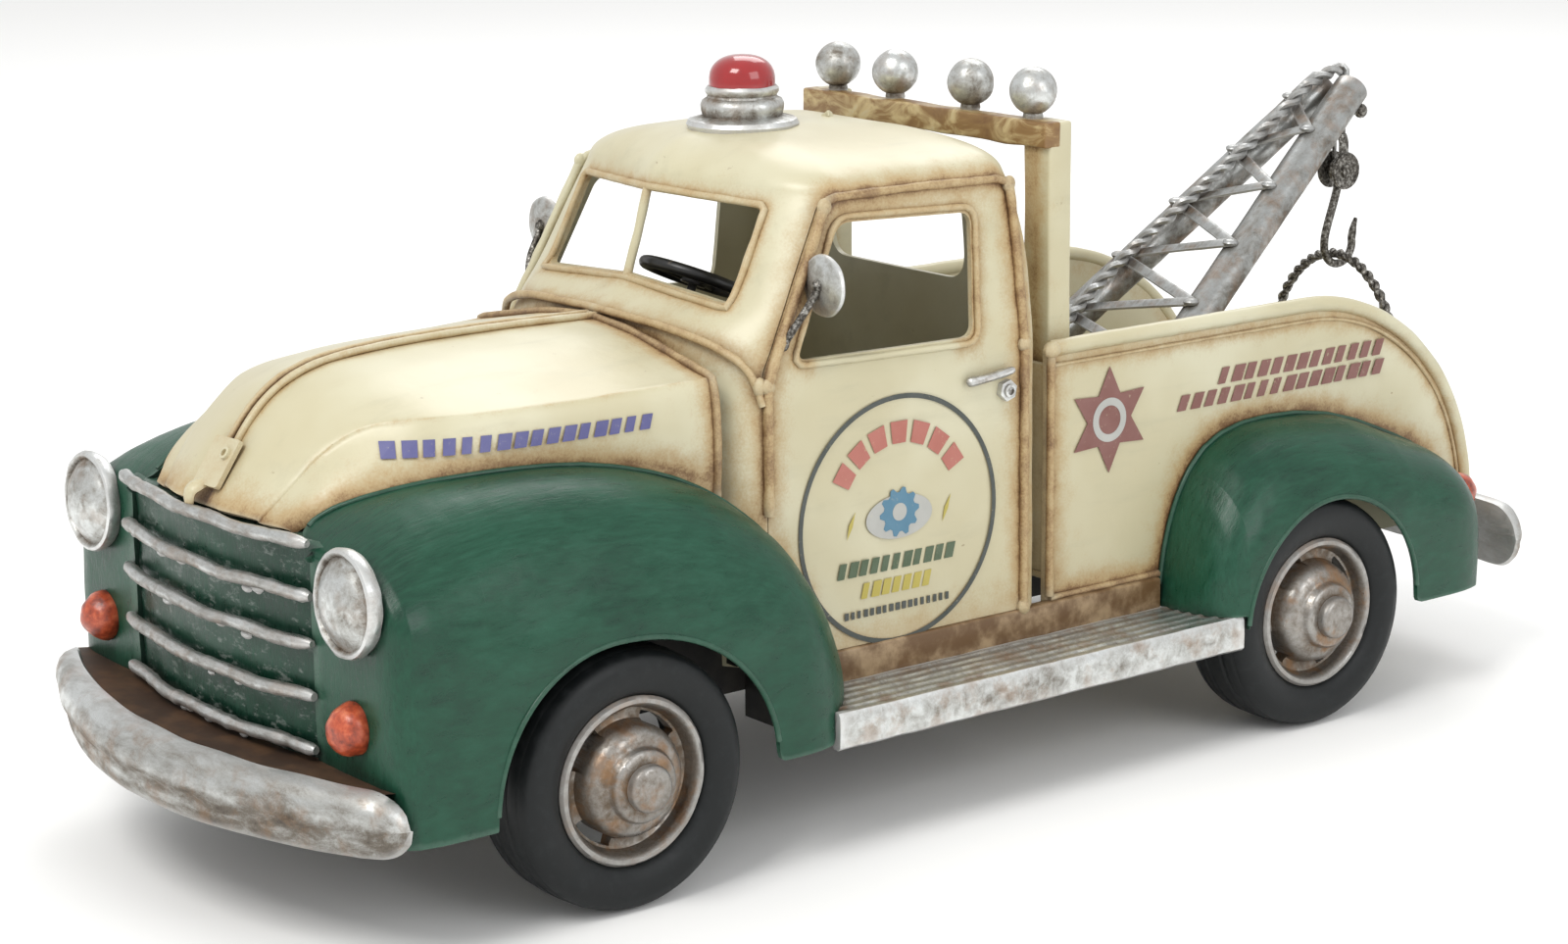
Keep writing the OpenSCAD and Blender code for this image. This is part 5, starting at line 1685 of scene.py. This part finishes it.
def hood_side(y, z, s=1):
    """The point at (y, z) on the hood's side and the direction out of it."""
    def at(yy, zz):
        k = float(np.interp(-yy, HOOD_STATIONS, range(len(HOOD_STATIONS))))
        i = min(int(k), len(HOOD_STATIONS) - 2)
        row = HOOD_ROWS[i] * (1 - (k - i)) + HOOD_ROWS[i + 1] * (k - i)
        part = row[9:22]
        x = np.interp(-zz, -part[:, 2], part[:, 0])
        return np.array([x, yy, zz])
    point = at(y, z)
    out = np.cross(at(y + 0.5, z) - point, at(y, z + 0.5) - point)
    out /= np.linalg.norm(out)
    if out[0] < 0:
        out = -out
    flip = np.array([s, 1, 1])
    return point * flip, out * flip


def build_marks(colours):
    """Generic painted marks: a gear in a ring, a star, and rows of blocks, with no lettering."""
    gear_u, gear_v = -17.5, 66.5
    star = (46.6, 79.4)
    for side, s in SIDES:
        def on_door(u, v, s=s):
            return np.array([s * 49.72, u, v]), np.array([s * 1.0, 0, 0])

        def on_bed(u, v, s=s):
            return np.array([s * 48.22, u, v]), np.array([s * 1.0, 0, 0])

        def on_hood(u, v, s=s):
            return hood_side(u, v, s)

        shapes = {name: Shape() for name in colours}
        ring_mark(shapes["dark"], (gear_u, gear_v), (27.0, 28.1), on_door)
        for k in range(7):
            a = math.radians(145 - 110 * k / 6)
            half = 0.115
            outline = [(gear_u + s * r * math.cos(b), gear_v + 1 + r * math.sin(b))
                       for r, b in ((16.2, a - half), (21.2, a - half), (21.2, a + half),
                                    (16.2, a + half))]
            thin_mark(shapes["red"], outline, on_door)
        thin_mark(shapes["grey"], oval((gear_u, gear_v + 0.6), 9.4, 5.0, 40), on_door)
        gear = []
        for k in range(40):
            a = 2 * math.pi * k / 40
            r = 5.6 if k % 4 < 2 else 4.5
            gear.append((gear_u + r * math.cos(a), gear_v + 1.6 + r * math.sin(a)))
        thin_mark(shapes["blue"], gear, on_door, 0.13)
        thin_mark(shapes["grey"], oval((gear_u, gear_v + 1.6), 2.0, 2.0, 24), on_door, 0.20)
        for u in (-13.6, 13.6):
            thin_mark(shapes["yellow"], [(gear_u + u - 1.2, gear_v - 2.6),
                                         (gear_u + u + 0.4, gear_v + 0.2),
                                         (gear_u + u + 1.2, gear_v + 3.4),
                                         (gear_u + u - 0.6, gear_v + 0.6)], on_door)
        block_row(shapes["green"], on_door, -34.6, -0.4, 57.0, 3.5, 2.3, 0.75)
        block_row(shapes["yellow"], on_door, -28.0, -7.0, 51.7, 3.5, 2.2, 0.7)
        block_row(shapes["dark"], on_door, -33.0, -2.0, 46.6, 1.7, 1.2, 0.6, 0)
        tips = []
        for k in range(12):
            a = math.pi / 2 + 2 * math.pi * k / 12
            r = 12.6 if k % 2 == 0 else 6.8
            tips.append((star[0] + r * math.cos(a), star[1] + r * math.sin(a)))
        thin_mark(shapes["brown"], tips, on_bed)
        ring_mark(shapes["grey"], star, (3.4, 5.2), on_bed, 48, lift=0.14)
        block_row(shapes["brown"], on_bed, 82.2, 139.0, 84.9, 3.9, 3.4, 1.0, 1.6)
        block_row(shapes["brown"], on_bed, 69.0, 139.0, 80.0, 3.7, 3.4, 1.0, 1.6)
        block_row(shapes["hood_blue"], on_hood, -139.0, -78.0, 97.0, 3.1, 2.8, 0.9, 1.1, 0.32)
        for name, shape in shapes.items():
            piece(shape.make(f"mark_{name}_{side}", smooth=False), colours[name])


# ---------------------------------------------------------------- the whole truck

cream = cream_paint()
cream_post = cream_paint("cream_post", 1.15)
ochre = ochre_paint()
green = green_paint()
grille_green = green_paint("grille_green", 0.35, 0.8)
inner_green = plain_dark("inner_green", (0.030, 0.038, 0.032), (0.062, 0.070, 0.058), 0.6)
silver = silver_leaf("silver_leaf", 0.92, 0.25, 2.6)
# under adds painted shade on what faces down, on the bumpers, the grille bars and the boom tubes
bumper_silver = silver_leaf("bumper_silver", 0.86, 0.35, 3.4, drawn=(3.2, 1, 1), under=0.10)
bar_silver = silver_leaf("bar_silver", 0.80, 0.30, 1.4, drawn=(2.6, 1, 1), under=0.10)
tube_silver = silver_leaf("tube_silver", 0.62, 0.35, 2.0, drawn=(1, 3.0, 2.4), under=0.06)
wire_silver = silver_leaf("wire_silver", 0.55, 0.45, 1.2)
board_silver = silver_leaf("board_silver", 0.92, 0.45, 3.0)
rim_finish = silver_leaf("rim_finish", 0.52, 0.70, 2.0, golden=0.18)
rusty = plain_dark("rusty_silver", (0.130, 0.070, 0.028), (0.360, 0.255, 0.145), 0.42)
brown_top = plain_dark("brown_top", (0.040, 0.020, 0.010), (0.085, 0.043, 0.020), 0.6)
wire = dark_wire()
tyre_black = rubber()
frame_dark = plain_dark("frame_dark", (0.014, 0.013, 0.012), (0.035, 0.031, 0.026), 0.6)
orange = lamp_paint()
red = beacon_red()
black = plain_dark("wheel_black", (0.008, 0.008, 0.008), (0.018, 0.018, 0.018), 0.35)
marks = {
    "dark": decal_paint("mark_dark", (0.030, 0.040, 0.033), 0.35),
    "brown": decal_paint("mark_brown", (0.190, 0.060, 0.045), 0.45),
    "red": decal_paint("mark_red", (0.420, 0.120, 0.085), 0.45),
    "grey": decal_paint("mark_grey", (0.430, 0.430, 0.400), 0.35),
    "blue": decal_paint("mark_blue", (0.060, 0.190, 0.290), 0.30),
    "green": decal_paint("mark_green", (0.045, 0.085, 0.030), 0.35),
    "yellow": decal_paint("mark_yellow", (0.440, 0.360, 0.045), 0.35),
    "hood_blue": decal_paint("mark_hood_blue", (0.070, 0.070, 0.230), 0.30),
}

build_cab(cream, inner_green)
build_cab_trim(cream)
build_hood(cream, inner_green)
build_front_fenders(green, frame_dark)
build_rear_fenders(green)
build_nose(grille_green, bar_silver)
build_lamps(silver, orange, red)
build_bumpers(bumper_silver, brown_top)
build_boards(board_silver, rusty)
build_bed(cream)
build_light_bar(cream_post, ochre)
build_mirrors(silver, wire)
build_handles(silver)
build_steering(black)
build_boom(tube_silver, wire, wire_silver)
build_hook(wire)
build_wheels(tyre_black, rim_finish)
build_axle_caps(rim_finish)
build_marks(marks)
for painted in SEAMED:
    seam_attribute(painted)

# hidden parts keep their CAD shape
for node in ("chassis_frame", "axle_tubes", "axles", "cab_floor", "steering_column"):
    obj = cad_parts[node]
    obj.data.materials.clear()
    obj.data.materials.append(frame_dark)


# ---------------------------------------------------------------- view, floor and light

def set_camera():
    """The photograph's view, worked out from points that mirror each other on the truck."""
    eye = Vector((615.58, -482.65, 251.52)) * MM
    ahead = Vector((-0.77239, 0.59146, -0.23148)).normalized()
    right = ahead.cross(Vector((0, 0, 1))).normalized()
    up = right.cross(ahead)
    roll = math.radians(-0.595)
    right, up = (math.cos(roll) * right + math.sin(roll) * up,
                 math.cos(roll) * up - math.sin(roll) * right)
    data = bpy.data.cameras.new("view")
    data.lens = 78.60
    data.sensor_width = 36
    data.dof.use_dof = False
    data.clip_start = 0.01
    data.clip_end = 20
    camera = bpy.data.objects.new("view", data)
    bpy.context.scene.collection.objects.link(camera)
    camera.matrix_world = Matrix((
        (right[0], up[0], -ahead[0], eye[0]),
        (right[1], up[1], -ahead[1], eye[1]),
        (right[2], up[2], -ahead[2], eye[2]),
        (0, 0, 0, 1)))
    bpy.context.scene.camera = camera


def area_light(name, at, to, size, watts, colour=(1, 1, 1)):
    """A soft square light that faces a point, all in metres."""
    data = bpy.data.lights.new(name, "AREA")
    data.shape = "SQUARE"
    data.size = size
    data.energy = watts
    data.color = colour
    light = bpy.data.objects.new(name, data)
    bpy.context.scene.collection.objects.link(light)
    light.location = at
    light.rotation_euler = (Vector(to) - Vector(at)).to_track_quat("-Z", "Y").to_euler()


def set_stage():
    """A pale floor, a white sky and three soft lights."""
    mesh = bpy.data.meshes.new("floor")
    mesh.from_pydata([(-40, -40, 0), (40, -40, 0), (40, 40, 0), (-40, 40, 0)], [], [(0, 1, 2, 3)])
    floor = bpy.data.objects.new("floor", mesh)
    bpy.context.scene.collection.objects.link(floor)
    white = bpy.data.materials.new("floor_white")
    white.use_nodes = True
    bsdf = white.node_tree.nodes["Principled BSDF"]
    bsdf.inputs["Base Color"].default_value = (0.93, 0.93, 0.92, 1)
    bsdf.inputs["Roughness"].default_value = 0.9
    bsdf.inputs["Specular IOR Level"].default_value = 0.1
    mesh.materials.append(white)
    world = bpy.data.worlds.new("sky")
    world.use_nodes = True
    background = world.node_tree.nodes["Background"]
    background.inputs["Color"].default_value = (1.0, 1.0, 1.0, 1)
    background.inputs["Strength"].default_value = 0.85
    bpy.context.scene.world = world
    aim = (0, 0, 0.06)
    area_light("key", (0.30, -0.95, 1.25), aim, 0.6, 11, (1.0, 0.985, 0.96))
    area_light("side", (1.3, 0.2, 0.7), aim, 0.8, 5, (0.97, 0.985, 1.0))
    area_light("back", (-0.7, 0.8, 1.2), aim, 0.9, 7)


set_camera()
set_stage()
bpy.context.scene.view_settings.view_transform = "Standard"
